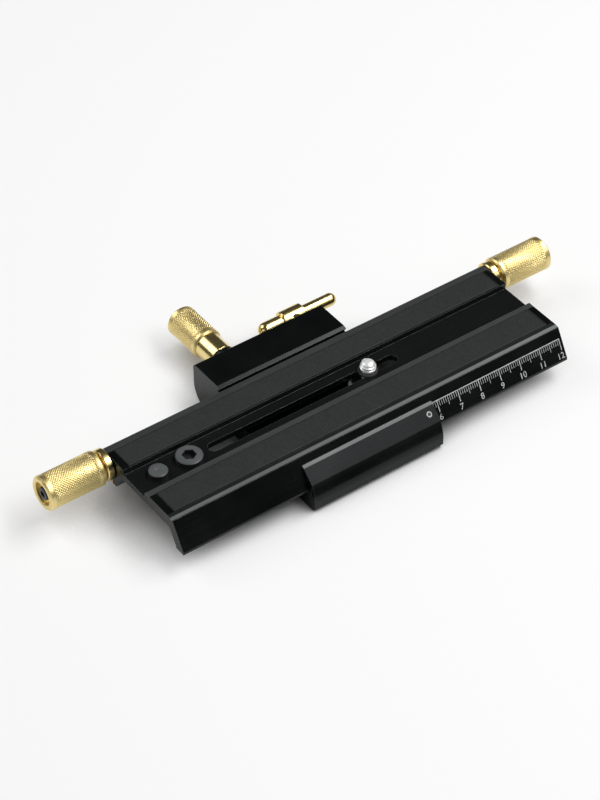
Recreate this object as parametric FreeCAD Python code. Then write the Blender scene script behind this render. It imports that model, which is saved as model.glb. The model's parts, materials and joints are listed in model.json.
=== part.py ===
import FreeCAD, Part
import math
import os

# Focusing rail: a long dovetail plate that carries the camera and is driven through a short
# carriage by a lead screw. Millimetres and degrees. The origin is the mouth of the tripod
# socket, under the middle of the carriage. X runs along the plate, Y to the rear, Z up.

Vector = FreeCAD.Vector
ALONG_X = Vector(1, 0, 0)
ALONG_Y = Vector(0, 1, 0)
ALONG_Z = Vector(0, 0, 1)

# Clearances
slide_clearance = 0.05        # sliding faces of the dovetail
running_clearance = 0.05      # radial, shafts in their bores
press_clearance = 0.03        # radial, between pressed pieces
loose_clearance = 0.3         # pieces that pass without touching

# Plate
plate_length = 180.0
plate_top_width = 46.0
plate_height = 12.5
plate_offset = 4.0            # middle of the plate from the middle of the carriage, at rest
dovetail_angle = 60.0
foot_land = 1.0               # upright strip under each flank
front_leg = 4.8               # level width of the front leg
web_thickness = 5.0
edge_chamfer = 1.5
edge_chamfer_drop = 0.35
rear_leg_top = 9.5            # where the rear leg's inner face leaves the web
rear_leg_foot = 14.3
cavity_fillet = 0.8

# Channel and slot in the plate's top
channel_centre = 1.9
channel_width = 13.8
channel_depth = 2.5
channel_bevel = 0.7
slot_width = 4.9
slot_left_inset = 33.0        # ends of the slot, from the plate's ends
slot_right_inset = 59.5

# Grip strips on the plate's top
strip_outer = 19.8            # outer edges of both strips, from the middle
front_strip_inner = 8.2
rear_strip_inner = 9.3
strip_end_gap = 3.0
strip_thickness = 1.1
strip_recess = 0.6
strip_edge = 0.25

# Lead screw and its bearings
screw_radius = 3.0
journal_radius = 2.5
screw_setback = 20.4          # axis behind the middle of the plate
screw_depth = 5.2             # axis under the plate's top
screw_room = 0.7              # radial room round the thread
bush_length = 5.5
collar_radius = 6.4
collar_width = 2.9
collar_chamfer = 0.4
end_float = 0.05

# Drive knobs
knob_radius = 7.0
knob_length = 24.2
knob_neck_radius = 4.6
knob_neck = 0.85
knob_chamfer = 0.7
knob_recess_radius = 4.7
knob_recess = 2.0
knob_grip_depth = 17.0        # how far the shaft reaches into the knob
knob_screw_radius = 1.5
knob_screw_head = 2.75
knob_screw_head_height = 1.7
hex_socket = 2.5
hex_depth = 1.1

# Carriage
carriage_length = 60.0
floor_height = 8.0
jaw_height = 17.5
jaw_land = 0.6
jaw_bevel_width = 6.0
jaw_bevel_drop = 5.4
jaw_face = 33.5               # outer face of the front jaw, from the middle
jaw_face_top = 4.6
jaw_turn = 0.72               # share of the turn taken up halfway down it
jaw_foot_inset = 1.4
jaw_foot_height = 1.6
housing_height = 17.0
housing_face = 45.5           # rear face, from the middle
housing_chamfer = 0.9
housing_round_top = 8.0       # the rear face turns under from this height
housing_foot = 41.5
lip_gap = 2.6                 # level gap between the flank and the housing's lip over the gib
lip_chamfer = 1.6
lip_chamfer_drop = 0.6
lip_play = 0.4                # lip's underside over the gib

# Gib behind the plate's rear flank
gib_gap = 3.7                 # level gap between the flank and the housing
gib_back_clearance = 0.1
gib_height = 6.6
gib_screw_radius = 2.0
gib_screw_length = 9.0
gib_screw_height = 11.0
gib_screw_stations = (-25.0, 3.0)
gib_socket = 2.0

# Lock knob
lock_station = -15.5
lock_height = 11.0
lock_screw_radius = 3.0
lock_pitch = 1.0
lock_boss_radius = 6.0
lock_boss_length = 0.8
lock_boss_chamfer = 0.4
lock_shoe_radius = 3.2
lock_shoe_length = 3.5
lock_shoe_gap = 0.2
lock_travel = 1.5
lock_knob_radius = 6.5
lock_knob_length = 19.0
lock_knob_stand_off = 10.45   # between the boss and the knob's body
lock_neck_radius = 5.7
lock_neck = 9.95

# Release lever and its shaft
lever_station = 19.7
lever_height = 12.0
lever_sleeve_radius = 4.2
lever_sleeve_length = 10.0
lever_bar_setback = 4.5       # bar's axis behind the housing's rear face
lever_left_radius = 3.1
lever_left_reach = 15.6
lever_right_radius = 2.7
lever_right_reach = 21.2
lever_shaft_radius = 3.4
lever_bushing_radius = 4.4
lever_throw = 2.2             # eccentric pin from the shaft's axis
lever_pin_radius = 1.0
shaft_groove = 0.6
shaft_screw_radius = 1.5
shaft_screw_setback = 3.2     # from the rear face

# Half nut and its carrier
nut_length = 9.0
nut_width = 6.4
nut_rim_drop = 0.5            # rim of the half nut under the screw's axis
carrier_arm_width = 9.0
carrier_drop_gap = 0.6        # under the carrier when it is down
carrier_arm_thickness = 3.0
carrier_leg_width = 13.0
carrier_leg_thickness = 2.5
carrier_bridge = 1.6          # metal over the pin slot
carrier_front_margin = 0.9
pin_slot_play = 0.2
pocket_play = 0.25
pocket_leg_front = 35.6
release_angle = 35.0

# Base cover under the carrier's pocket
cover_thickness = 1.5
cover_side_margin = 2.0
cover_front_margin = 4.0
cover_rear_margin = 1.3
cover_play = 0.1
cover_screw_radius = 1.0
cover_screw_head = 1.8
cover_screw_length = 5.0
cover_screw_spread = 6.7
cover_screw_rows = (20.0, 31.0)

# Tripod sockets, with 3/8 and 1/4 inch thread
tripod_radius = 4.763
tripod_bushing_radius = 7.5
tripod_bushing_height = 7.0
tripod_bushing_chamfer = 0.4
small_socket_radius = 3.175
small_socket_depth = 6.5
small_socket_station = -18.0

# Index pin in the jaw's bevel
index_radius = 1.2
index_depth = 1.0
index_inset = 3.2             # from the jaw's right end

# Camera screw in the slot
camera_slot_gap = 13.8        # axis to the slot's right end, at rest
camera_thread_radius = 3.175
camera_tip_height = 2.4       # over the plate's top, with the screw dropped
camera_tip_chamfer = 0.8
camera_shank_radius = 2.3
camera_lift = 2.5
washer_radius = 3.9
washer_thickness = 0.6
thrust_washer_radius = 6.0
camera_head_radius = 7.5
camera_head_height = 3.4
camera_head_chamfer = 0.5
coin_slot_width = 1.6
coin_slot_depth = 1.4

# Stored screw and stop pin at the channel's left end
spare_inset = 24.4            # axis, from the plate's left end
spare_head_radius = 5.25
spare_shank_radius = 4.7
spare_socket = 5.0
stop_inset = 10.7
stop_head_radius = 3.7
stop_shank_radius = 2.0
stop_dimple_radius = 1.6
stop_dimple_depth = 0.3
head_sink = 0.2               # heads under the plate's top
head_chamfer = 0.4
shank_reach = 1.2             # shanks under the web

# Derived places
slope = math.tan(math.radians(dovetail_angle))
across = math.sin(math.radians(dovetail_angle))
plate_bottom = floor_height + slide_clearance
plate_top = plate_bottom + plate_height
plate_left = plate_offset - plate_length / 2
plate_right = plate_left + plate_length
half_top = plate_top_width / 2
flank_foot = half_top + (plate_height - foot_land) / slope
web_bottom = plate_top - web_thickness
channel_floor = plate_top - channel_depth
channel_front = channel_centre - channel_width / 2
channel_rear = channel_centre + channel_width / 2
screw_axis = plate_top - screw_depth
screw_channel_radius = screw_radius + screw_room
carriage_left = -carriage_length / 2
carriage_right = carriage_length / 2
gib_front = slide_clearance / across
gib_back = gib_gap - gib_back_clearance / across
bar_line = housing_face + lever_bar_setback
pin_station = lever_station - lever_throw
nut_drop = lever_throw * math.sin(math.radians(release_angle))
pin_travel = lever_throw * (1 - math.cos(math.radians(release_angle)))
carrier_arm_bottom = cover_thickness + nut_drop + carrier_drop_gap
carrier_leg_front = pocket_leg_front + pocket_play
carrier_leg_rear = carrier_leg_front + carrier_leg_thickness
pocket_rear = carrier_leg_rear + pocket_play
pocket_leg_half = carrier_leg_width / 2 + pocket_play
pocket_arm_half = carrier_arm_width / 2 + pocket_play
nut_front = screw_setback - nut_width / 2
carrier_front = nut_front - carrier_front_margin
pocket_front = carrier_front - pocket_play
carrier_arm_top = carrier_arm_bottom + carrier_arm_thickness
pin_slot_half_height = lever_pin_radius + pin_slot_play
carrier_leg_top = lever_height + pin_slot_half_height + carrier_bridge
cover_half = pocket_leg_half + cover_side_margin
cover_front = pocket_front - cover_front_margin
cover_rear = pocket_rear + cover_rear_margin
slot_left = plate_left + slot_left_inset
slot_right = plate_right - slot_right_inset
camera_x = slot_right - camera_slot_gap
spare_x = plate_left + spare_inset
stop_x = plate_left + stop_inset


def flank(height):
    """Distance of the plate's rear flank from the middle at a height."""
    return half_top + (plate_top - height) / slope


def outline(x, start, steps):
    """Closed face across X, from (y, z) points; a step of two points is an arc through the first."""
    edges = []
    here = Vector(x, *start)
    for step in steps:
        if isinstance(step[0], tuple):
            middle, end = Vector(x, *step[0]), Vector(x, *step[1])
            edges.append(Part.Arc(here, middle, end).toShape())
        else:
            end = Vector(x, *step)
            edges.append(Part.LineSegment(here, end).toShape())
        here = end
    edges.append(Part.LineSegment(here, Vector(x, *start)).toShape())
    return Part.Face(Part.Wire(edges))


def bar_along_x(x_low, x_high, start, steps):
    """Solid with the same outline from one X to another."""
    return outline(x_low, start, steps).extrude(Vector(x_high - x_low, 0, 0))


def block(x_low, x_high, y_low, y_high, z_low, z_high):
    """Rectangular block between two corners."""
    corner = Vector(x_low, y_low, z_low)
    return Part.makeBox(x_high - x_low, y_high - y_low, z_high - z_low, corner)


def rod(radius, start, end):
    """Round bar between two points."""
    way = end.sub(start)
    return Part.makeCylinder(radius, way.Length, start, way)


def turned(profile, origin, axis):
    """Solid of revolution. The profile's points are (distance along the axis, radius)."""
    points = [Vector(along, radius, 0) for along, radius in profile]
    points.append(points[0])
    solid = Part.Face(Part.makePolygon(points)).revolve(Vector(0, 0, 0), ALONG_X, 360)
    solid.Placement = FreeCAD.Placement(origin, FreeCAD.Rotation(ALONG_X, axis))
    return solid


def hexagon(across_flats, depth, origin, axis):
    """Hexagonal socket, cut from its mouth at the origin along the axis."""
    corner = across_flats / math.sqrt(3)
    turns = [math.radians(60 * k) for k in range(7)]
    points = [Vector(0, corner * math.cos(t), corner * math.sin(t)) for t in turns]
    prism = Part.Face(Part.makePolygon(points)).extrude(Vector(depth, 0, 0))
    prism.Placement = FreeCAD.Placement(origin, FreeCAD.Rotation(ALONG_X, axis))
    return prism


def mirrored(shape):
    """The same shape at the plate's other end."""
    return shape.mirror(Vector(plate_offset, 0, 0), ALONG_X)


def clean(shape):
    """One tidy solid, or a group of them, without split faces."""
    return shape.removeSplitter()


def plate_section():
    """Outline of the plate from its front top edge to the rear and back underneath."""
    drop = edge_chamfer_drop / slope
    lip = plate_top - edge_chamfer_drop
    land_top = plate_bottom + foot_land
    front_foot = -flank_foot + front_leg
    front_root = -(half_top + web_thickness / slope) + front_leg
    bevel_top = (channel_front - channel_bevel, plate_top)
    left_wall = screw_setback - screw_channel_radius
    right_wall = screw_setback + screw_channel_radius
    crown = (screw_setback, screw_axis + screw_channel_radius)
    start = (-half_top + edge_chamfer, plate_top)
    return start, [
        bevel_top,
        (channel_front, plate_top - channel_bevel),
        (channel_front, channel_floor),
        (channel_rear, channel_floor),
        (channel_rear, plate_top),
        (half_top - edge_chamfer, plate_top),
        (half_top + drop, lip),
        (flank_foot, land_top),
        (flank_foot, plate_bottom),
        (right_wall, plate_bottom),
        (right_wall, screw_axis),
        (crown, (left_wall, screw_axis)),
        (left_wall, plate_bottom),
        (rear_leg_foot, plate_bottom),
        (rear_leg_top + cavity_fillet, web_bottom - cavity_fillet),
        (rear_leg_top - cavity_fillet, web_bottom),
        (front_root + cavity_fillet, web_bottom),
        (front_root - cavity_fillet / 2, web_bottom - cavity_fillet),
        (front_foot, land_top),
        (front_foot, plate_bottom),
        (-flank_foot, plate_bottom),
        (-flank_foot, land_top),
        (-half_top - drop, lip),
    ]


def strip_box(inner, outer, z_low, z_high, play):
    """Block over a grip strip's place, drawn in by a play all round."""
    x_low = plate_left + strip_end_gap + play
    x_high = plate_right - strip_end_gap - play
    y_low, y_high = sorted((inner, outer))
    return block(x_low, x_high, y_low + play, y_high - play, z_low, z_high)


def slide_plate():
    """Dovetail plate with its channel, slot, strip recesses and screw channel."""
    start, steps = plate_section()
    plate = bar_along_x(plate_left, plate_right, start, steps)
    half = slot_width / 2
    ends = (slot_left + half, slot_right - half)
    z_low = web_bottom - 1
    cuts = [block(*ends, channel_centre - half, channel_centre + half, z_low, plate_top)]
    for x in ends:
        cuts.append(rod(half, Vector(x, channel_centre, z_low), Vector(x, channel_centre, plate_top)))
    recess = plate_top - strip_recess
    cuts.append(strip_box(-front_strip_inner, -strip_outer, recess, plate_top + 1, 0))
    cuts.append(strip_box(rear_strip_inner, strip_outer, recess, plate_top + 1, 0))
    for x, radius in ((spare_x, spare_shank_radius), (stop_x, stop_shank_radius)):
        low = Vector(x, channel_centre, z_low)
        cuts.append(rod(radius + press_clearance, low, Vector(x, channel_centre, plate_top)))
    return clean(plate.cut(cuts))


def grip_strip(inner, outer):
    """Ribbed strip in its recess, with its top edges eased."""
    bottom = plate_top - strip_recess
    strip = strip_box(inner, outer, bottom, bottom + strip_thickness, press_clearance)
    rims = [e for e in strip.Edges if min(v.Z for v in e.Vertexes) > bottom + strip_thickness / 2]
    return strip.makeChamfer(strip_edge, rims)


def screw_bush():
    """Bearing of the lead screw, pressed in the screw channel at the plate's right end."""
    x_low = plate_right - bush_length
    radius = screw_channel_radius - press_clearance
    left_wall = screw_setback - radius
    right_wall = screw_setback + radius
    crown = (screw_setback, screw_axis + radius)
    start = (left_wall, plate_bottom)
    steps = [(left_wall, screw_axis), (crown, (right_wall, screw_axis)), (right_wall, plate_bottom)]
    bush = bar_along_x(x_low, plate_right, start, steps)
    axis = Vector(x_low, screw_setback, screw_axis)
    far = Vector(plate_right, screw_setback, screw_axis)
    return bush.cut(rod(journal_radius + running_clearance, axis, far))


def drive_screw():
    """Lead screw with a journal at each end that carries a collar and a knob."""
    middle = Vector(plate_offset, screw_setback, screw_axis)
    shaft_half = plate_length / 2 + end_float + collar_width + knob_grip_depth
    ease = screw_radius - journal_radius
    thread_half = plate_length / 2 - bush_length - loose_clearance - ease
    hole = shaft_half - knob_screw_reach()
    profile = [
        (-shaft_half, 0),
        (-shaft_half, journal_radius),
        (-thread_half - ease, journal_radius),
        (-thread_half, screw_radius),
        (thread_half, screw_radius),
        (thread_half + ease, journal_radius),
        (shaft_half, journal_radius),
        (shaft_half, 0),
    ]
    screw = turned(profile, middle, ALONG_X)
    for side in (-1, 1):
        inner = middle.add(Vector(side * hole, 0, 0))
        outer = middle.add(Vector(side * shaft_half, 0, 0))
        screw = screw.cut(rod(knob_screw_radius + press_clearance, inner, outer))
    return screw


def thrust_collar():
    """Collar that holds the screw against the bush at the plate's right end."""
    x = plate_right + end_float
    inner = journal_radius + press_clearance
    profile = [
        (0, inner),
        (0, collar_radius - collar_chamfer),
        (collar_chamfer, collar_radius),
        (collar_width - collar_chamfer, collar_radius),
        (collar_width, collar_radius - collar_chamfer),
        (collar_width, inner),
    ]
    return turned(profile, Vector(x, screw_setback, screw_axis), ALONG_X)


def knob_screw_reach():
    """Length of a knob's end screw inside the shaft."""
    return knob_grip_depth / 2


def knob_profile(radius, length, neck_radius, neck, bore):
    """Half section of a knob: neck, barrel, and a recess that takes the end screw."""
    total = neck + length
    shoulder = total - knob_recess
    return [
        (0, bore),
        (0, neck_radius),
        (neck, neck_radius),
        (neck, radius - knob_chamfer),
        (neck + knob_chamfer, radius),
        (total - knob_chamfer, radius),
        (total, radius - knob_chamfer),
        (total, knob_recess_radius + knob_chamfer / 2),
        (total - knob_chamfer / 2, knob_recess_radius),
        (shoulder, knob_recess_radius),
        (shoulder, knob_screw_radius + press_clearance),
        (knob_grip_depth, knob_screw_radius + press_clearance),
        (knob_grip_depth, bore),
    ]


def end_screw(shoulder, reach, origin, axis):
    """Socket head screw in a knob's end; shoulder and reach are measured along the axis."""
    top = shoulder + knob_screw_head_height
    profile = [
        (reach, 0),
        (reach, knob_screw_radius),
        (shoulder, knob_screw_radius),
        (shoulder, knob_screw_head),
        (top - head_chamfer, knob_screw_head),
        (top, knob_screw_head - head_chamfer),
        (top, 0),
    ]
    screw = turned(profile, origin, axis)
    mouth = origin.add(Vector(axis).multiply(top))
    return screw.cut(hexagon(hex_socket, hex_depth, mouth, Vector(axis).multiply(-1)))


def drive_knob_origin():
    """Where the right drive knob's neck meets its collar."""
    x = plate_right + end_float + collar_width
    return Vector(x, screw_setback, screw_axis)


def drive_knob():
    """Right drive knob."""
    bore = journal_radius + press_clearance
    profile = knob_profile(knob_radius, knob_length, knob_neck_radius, knob_neck, bore)
    return turned(profile, drive_knob_origin(), ALONG_X)


def drive_knob_screw():
    """End screw of the right drive knob."""
    shoulder = knob_neck + knob_length - knob_recess
    reach = knob_grip_depth - knob_screw_reach()
    return end_screw(shoulder, reach, drive_knob_origin(), ALONG_X)


def carriage_section():
    """Outline of the carriage: front jaw, floor and rear housing."""
    relief = loose_clearance
    jaw_inner_top = -flank(jaw_height) - slide_clearance / across
    jaw_outer_top = jaw_inner_top - jaw_land
    bevel_foot = (jaw_outer_top - jaw_bevel_width, jaw_height - jaw_bevel_drop)
    turn = (
        bevel_foot[0] - jaw_turn * (jaw_face + bevel_foot[0]),
        (bevel_foot[1] + jaw_face_top) / 2,
    )
    corner = plate_bottom + foot_land
    jaw_root = -flank_foot - relief
    housing_root = flank(corner) + gib_gap
    radius = (((housing_face - housing_foot) ** 2 + housing_round_top ** 2)
              / (2 * (housing_face - housing_foot)))
    sweep = math.asin(housing_round_top / radius) / 2
    round_middle = (
        housing_face - radius * (1 - math.cos(sweep)),
        housing_round_top - radius * math.sin(sweep),
    )
    lip_low = floor_height + gib_height + lip_play
    lip_crest = housing_height - lip_chamfer_drop
    lip_front = flank(lip_crest) + lip_gap
    start = (jaw_inner_top, jaw_height)
    return start, [
        (jaw_outer_top, jaw_height),
        bevel_foot,
        (turn, (-jaw_face, jaw_face_top)),
        (-jaw_face, jaw_foot_height),
        (-jaw_face + jaw_foot_inset, 0),
        (housing_foot, 0),
        (round_middle, (housing_face, housing_round_top)),
        (housing_face, housing_height - housing_chamfer),
        (housing_face - housing_chamfer, housing_height),
        (lip_front + lip_chamfer, housing_height),
        (lip_front, lip_crest),
        (flank(lip_low) + lip_gap, lip_low),
        (flank(lip_low) + gib_gap, lip_low),
        (housing_root, corner),
        (housing_root, floor_height),
        (jaw_root, floor_height),
        (jaw_root, corner),
    ]


def carrier_pocket():
    """Room for the half nut's carrier: a trench, a shaft in the housing and the nut's window."""
    low = cover_thickness - 1
    x = lever_station
    arm_top = carrier_arm_top + pocket_play
    leg_top = carrier_leg_top + pocket_play
    nut_half = nut_length / 2 + pocket_play
    nut_y = nut_width / 2 + pocket_play
    trench = block(x - pocket_arm_half, x + pocket_arm_half, pocket_front, pocket_rear, low, arm_top)
    shaft = block(x - pocket_leg_half, x + pocket_leg_half, pocket_leg_front, pocket_rear, low, leg_top)
    window = block(x - nut_half, x + nut_half, screw_setback - nut_y, screw_setback + nut_y,
                   low, floor_height + 1)
    return [trench, shaft, window]


def cover_block(play, z_low, z_high):
    """Block the size of the base cover, drawn in by a play."""
    x_low = lever_station - cover_half + play
    x_high = lever_station + cover_half - play
    return block(x_low, x_high, cover_front + play, cover_rear - play, z_low, z_high)


def cover_screw_places():
    """Places of the base cover's screws."""
    for x in (lever_station - cover_screw_spread, lever_station + cover_screw_spread):
        for y in cover_screw_rows:
            yield Vector(x, y, 0)


def index_frame():
    """Middle of the jaw's bevel near its right end, and the bevel's outward normal."""
    top = -flank(jaw_height) - slide_clearance / across - jaw_land
    place = Vector(carriage_right - index_inset, top - jaw_bevel_width / 2,
                   jaw_height - jaw_bevel_drop / 2)
    normal = Vector(0, -jaw_bevel_drop, jaw_bevel_width).normalize()
    return place, normal


def lock_axis(y):
    """Point on the lock screw's axis."""
    return Vector(lock_station, y, lock_height)


def lever_axis(y):
    """Point on the release lever's axis."""
    return Vector(lever_station, y, lever_height)


def shoe_face(height):
    """Distance of the lock shoe's bevelled face from the middle at a height."""
    return flank(height) + gib_back + lock_shoe_gap / across


def shoe_rear():
    """Back of the lock shoe."""
    return shoe_face(lock_height) + lock_shoe_length


def carriage_body():
    """Carriage with the jaw, the boss of the lock and the bores and pockets of the mechanism."""
    start, steps = carriage_section()
    body = bar_along_x(carriage_left, carriage_right, start, steps)
    boss_end = housing_face + lock_boss_length
    boss = turned([(0, 0), (0, lock_boss_radius),
                   (lock_boss_length + 1 - lock_boss_chamfer, lock_boss_radius),
                   (lock_boss_length + 1, lock_boss_radius - lock_boss_chamfer),
                   (lock_boss_length + 1, 0)], lock_axis(housing_face - 1), ALONG_Y)
    body = body.fuse(boss)
    place, normal = index_frame()
    cuts = carrier_pocket()
    cuts.append(cover_block(0, -1, cover_thickness))
    cuts.append(rod(lock_screw_radius + running_clearance, lock_axis(flank(0)), lock_axis(boss_end + 1)))
    cuts.append(rod(lock_shoe_radius + 2 * running_clearance, lock_axis(flank(floor_height) - gib_gap),
                    lock_axis(shoe_rear() + lock_travel + loose_clearance)))
    cuts.append(rod(lever_bushing_radius, lever_axis(pocket_rear), lever_axis(housing_face + 1)))
    cuts.append(rod(tripod_bushing_radius, Vector(0, 0, -1), Vector(0, 0, tripod_bushing_height)))
    cuts.append(rod(small_socket_radius, Vector(small_socket_station, 0, -1),
                    Vector(small_socket_station, 0, small_socket_depth)))
    cuts.append(rod(index_radius + press_clearance, place.sub(Vector(normal).multiply(index_depth)),
                    place.add(normal)))
    for x in gib_screw_stations:
        cuts.append(rod(gib_screw_radius + press_clearance, Vector(x, flank(floor_height), gib_screw_height),
                        Vector(x, housing_face + 1, gib_screw_height)))
    for point in cover_screw_places():
        cuts.append(rod(cover_screw_radius + press_clearance, point,
                        Vector(point.x, point.y, cover_screw_length)))
    y = housing_face - shaft_screw_setback
    cuts.append(rod(shaft_screw_radius + press_clearance, Vector(lever_station, y, -1),
                    Vector(lever_station, y, lever_height)))
    return clean(body.cut(cuts))


def base_cover():
    """Plate that closes the carrier's pocket from below."""
    cover = cover_block(cover_play, 0, cover_thickness)
    for point in cover_screw_places():
        cover = cover.cut(Part.makeCone(cover_screw_head + cover_play, cover_screw_radius + cover_play,
                                        cover_thickness, point, ALONG_Z))
    return cover


def cover_screws():
    """Four countersunk screws of the base cover."""
    screws = []
    for point in cover_screw_places():
        profile = [(0, 0), (0, cover_screw_head), (cover_thickness, cover_screw_radius),
                   (cover_screw_length, cover_screw_radius), (cover_screw_length, 0)]
        screws.append(turned(profile, point, ALONG_Z))
    return Part.makeCompound(screws)


def tripod_bushing():
    """Pressed insert that carries the tripod's thread."""
    top = tripod_bushing_height
    outer = tripod_bushing_radius - press_clearance
    profile = [
        (0, tripod_radius + tripod_bushing_chamfer),
        (0, outer),
        (top, outer),
        (top, tripod_radius),
        (tripod_bushing_chamfer, tripod_radius),
    ]
    return turned(profile, Vector(0, 0, 0), ALONG_Z)


def gib_strip():
    """Bevelled strip between the plate's rear flank and the housing."""
    top = floor_height + gib_height
    start = (flank(floor_height) + gib_front, floor_height)
    corner = plate_bottom + foot_land
    wall = flank(corner) + gib_back
    steps = [
        (wall, floor_height),
        (wall, corner),
        (flank(top) + gib_back, top),
        (flank(top) + gib_front, top),
    ]
    return bar_along_x(carriage_left, carriage_right, start, steps)


def gib_screws():
    """Two socket set screws that bear on the gib."""
    tip = flank(gib_screw_height - gib_screw_radius) + gib_back
    screws = []
    for x in gib_screw_stations:
        front = Vector(x, tip, gib_screw_height)
        rear = Vector(x, tip + gib_screw_length, gib_screw_height)
        screw = rod(gib_screw_radius, front, rear)
        screws.append(screw.cut(hexagon(gib_socket, gib_socket, rear, Vector(0, -1, 0))))
    return Part.makeCompound(screws)


def lever_bushing():
    """Bearing of the release shaft, pressed in the housing."""
    outer = lever_bushing_radius - press_clearance
    inner = lever_shaft_radius + running_clearance
    length = housing_face - pocket_rear
    profile = [(0, inner), (0, outer), (length, outer), (length, inner)]
    bushing = turned(profile, lever_axis(pocket_rear), ALONG_Y)
    y = housing_face - shaft_screw_setback
    hole = rod(shaft_screw_radius + press_clearance, Vector(lever_station, y, 0),
               Vector(lever_station, y, lever_height))
    return bushing.cut(hole)


def shaft_screw():
    """Set screw from below whose tip keeps the release shaft in its groove."""
    y = housing_face - shaft_screw_setback
    top = lever_height - lever_shaft_radius + shaft_groove - running_clearance
    screw = rod(shaft_screw_radius, Vector(lever_station, y, shaft_screw_radius),
                Vector(lever_station, y, top))
    mouth = Vector(lever_station, y, shaft_screw_radius)
    return screw.cut(hexagon(shaft_screw_radius, shaft_screw_radius, mouth, ALONG_Z))


def index_pin():
    """Round index mark, flush in the jaw's bevel."""
    place, normal = index_frame()
    return rod(index_radius, place.sub(Vector(normal).multiply(index_depth)), place)


def spare_screw():
    """Second camera screw, stored in the channel's left end."""
    top = plate_top - head_sink - channel_floor
    shank = channel_floor - web_bottom + shank_reach
    profile = [
        (-shank, 0),
        (-shank, spare_shank_radius),
        (0, spare_shank_radius),
        (0, spare_head_radius),
        (top - head_chamfer, spare_head_radius),
        (top, spare_head_radius - head_chamfer),
        (top, 0),
    ]
    screw = turned(profile, Vector(spare_x, channel_centre, channel_floor), ALONG_Z)
    mouth = Vector(spare_x, channel_centre, channel_floor + top)
    return screw.cut(hexagon(spare_socket, top, mouth, Vector(0, 0, -1)))


def stop_pin():
    """Round stop beside the stored screw, with a dimple in its head."""
    top = plate_top - head_sink - channel_floor
    shank = channel_floor - web_bottom + shank_reach
    profile = [
        (-shank, 0),
        (-shank, stop_shank_radius),
        (0, stop_shank_radius),
        (0, stop_head_radius),
        (top - head_chamfer, stop_head_radius),
        (top, stop_head_radius - head_chamfer),
        (top, stop_dimple_radius),
        (top - stop_dimple_depth, 0),
    ]
    return turned(profile, Vector(stop_x, channel_centre, channel_floor), ALONG_Z)


def ring_washer(outer, inner, thickness, z):
    """Flat washer round the camera screw."""
    profile = [(0, inner), (0, outer), (thickness, outer), (thickness, inner)]
    return turned(profile, Vector(camera_x, channel_centre, z), ALONG_Z)


def thrust_washer_top():
    """Top of the washer on the camera screw's head, with the screw dropped."""
    return web_bottom - camera_lift - end_float


def camera_screw():
    """Captive camera screw: threaded tip, thin shank in the slot and a coin-slotted head."""
    head_top = thrust_washer_top() - washer_thickness
    head_bottom = head_top - camera_head_height
    thread_bottom = channel_floor + washer_thickness
    tip = plate_top + camera_tip_height
    profile = [
        (head_bottom, 0),
        (head_bottom, camera_head_radius - camera_head_chamfer),
        (head_bottom + camera_head_chamfer, camera_head_radius),
        (head_top - camera_head_chamfer, camera_head_radius),
        (head_top, camera_head_radius - camera_head_chamfer),
        (head_top, camera_shank_radius),
        (thread_bottom, camera_shank_radius),
        (thread_bottom, camera_thread_radius),
        (tip - camera_tip_chamfer, camera_thread_radius),
        (tip, camera_thread_radius - camera_tip_chamfer),
        (tip, 0),
    ]
    screw = turned(profile, Vector(camera_x, channel_centre, 0), ALONG_Z)
    half = coin_slot_width / 2
    reach = camera_head_radius + 1
    coin_slot = block(camera_x - reach, camera_x + reach, channel_centre - half, channel_centre + half,
                      head_bottom - 1, head_bottom + coin_slot_depth)
    return screw.cut(coin_slot)


def lock_shoe():
    """Pad that presses on the gib, bevelled like the gib's back."""
    low = lock_height - 2 * lock_shoe_radius
    high = lock_height + 2 * lock_shoe_radius
    side = 2 * lock_shoe_radius
    rear = shoe_rear()
    wedge = bar_along_x(lock_station - side, lock_station + side, (shoe_face(low), low),
                        [(rear, low), (rear, high), (shoe_face(high), high)])
    return wedge.common(rod(lock_shoe_radius, lock_axis(flank(plate_top)), lock_axis(rear)))


def lock_knob_face():
    """Inner face of the lock knob's barrel."""
    return housing_face + lock_boss_length + lock_knob_stand_off


def lock_screw():
    """Threaded rod of the lock."""
    front = shoe_rear() + end_float
    end = lock_knob_face() - lock_neck + knob_grip_depth
    screw = turned([(0, 0), (0, lock_screw_radius - lock_pitch / 2), (lock_pitch, lock_screw_radius),
                    (end - front, lock_screw_radius), (end - front, 0)], lock_axis(front), ALONG_Y)
    hole = rod(knob_screw_radius + press_clearance, lock_axis(end - knob_screw_reach()), lock_axis(end))
    return screw.cut(hole)


def lock_knob():
    """Knob of the lock."""
    bore = lock_screw_radius + press_clearance
    profile = knob_profile(lock_knob_radius, lock_knob_length, lock_neck_radius, lock_neck, bore)
    return turned(profile, lock_axis(lock_knob_face() - lock_neck), ALONG_Y)


def lock_knob_screw():
    """End screw of the lock knob."""
    shoulder = lock_neck + lock_knob_length - knob_recess
    reach = knob_grip_depth - knob_screw_reach()
    return end_screw(shoulder, reach, lock_axis(lock_knob_face() - lock_neck), ALONG_Y)


def lever_shaft():
    """Release shaft with a groove for the set screw, let into the lever's sleeve."""
    inner = pocket_rear + pocket_play
    groove = housing_face - shaft_screw_setback
    half = shaft_screw_radius + pocket_play
    profile = [
        (inner, 0),
        (inner, lever_shaft_radius),
        (groove - half, lever_shaft_radius),
        (groove - half, lever_shaft_radius - shaft_groove),
        (groove + half, lever_shaft_radius - shaft_groove),
        (groove + half, lever_shaft_radius),
        (bar_line, lever_shaft_radius),
        (bar_line, 0),
    ]
    shaft = turned(profile, lever_axis(0), ALONG_Y)
    pin = Vector(pin_station, inner, lever_height)
    seat = rod(lever_pin_radius + press_clearance, pin, pin.add(Vector(0, 2 * lever_pin_radius, 0)))
    return shaft.cut(seat)


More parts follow.
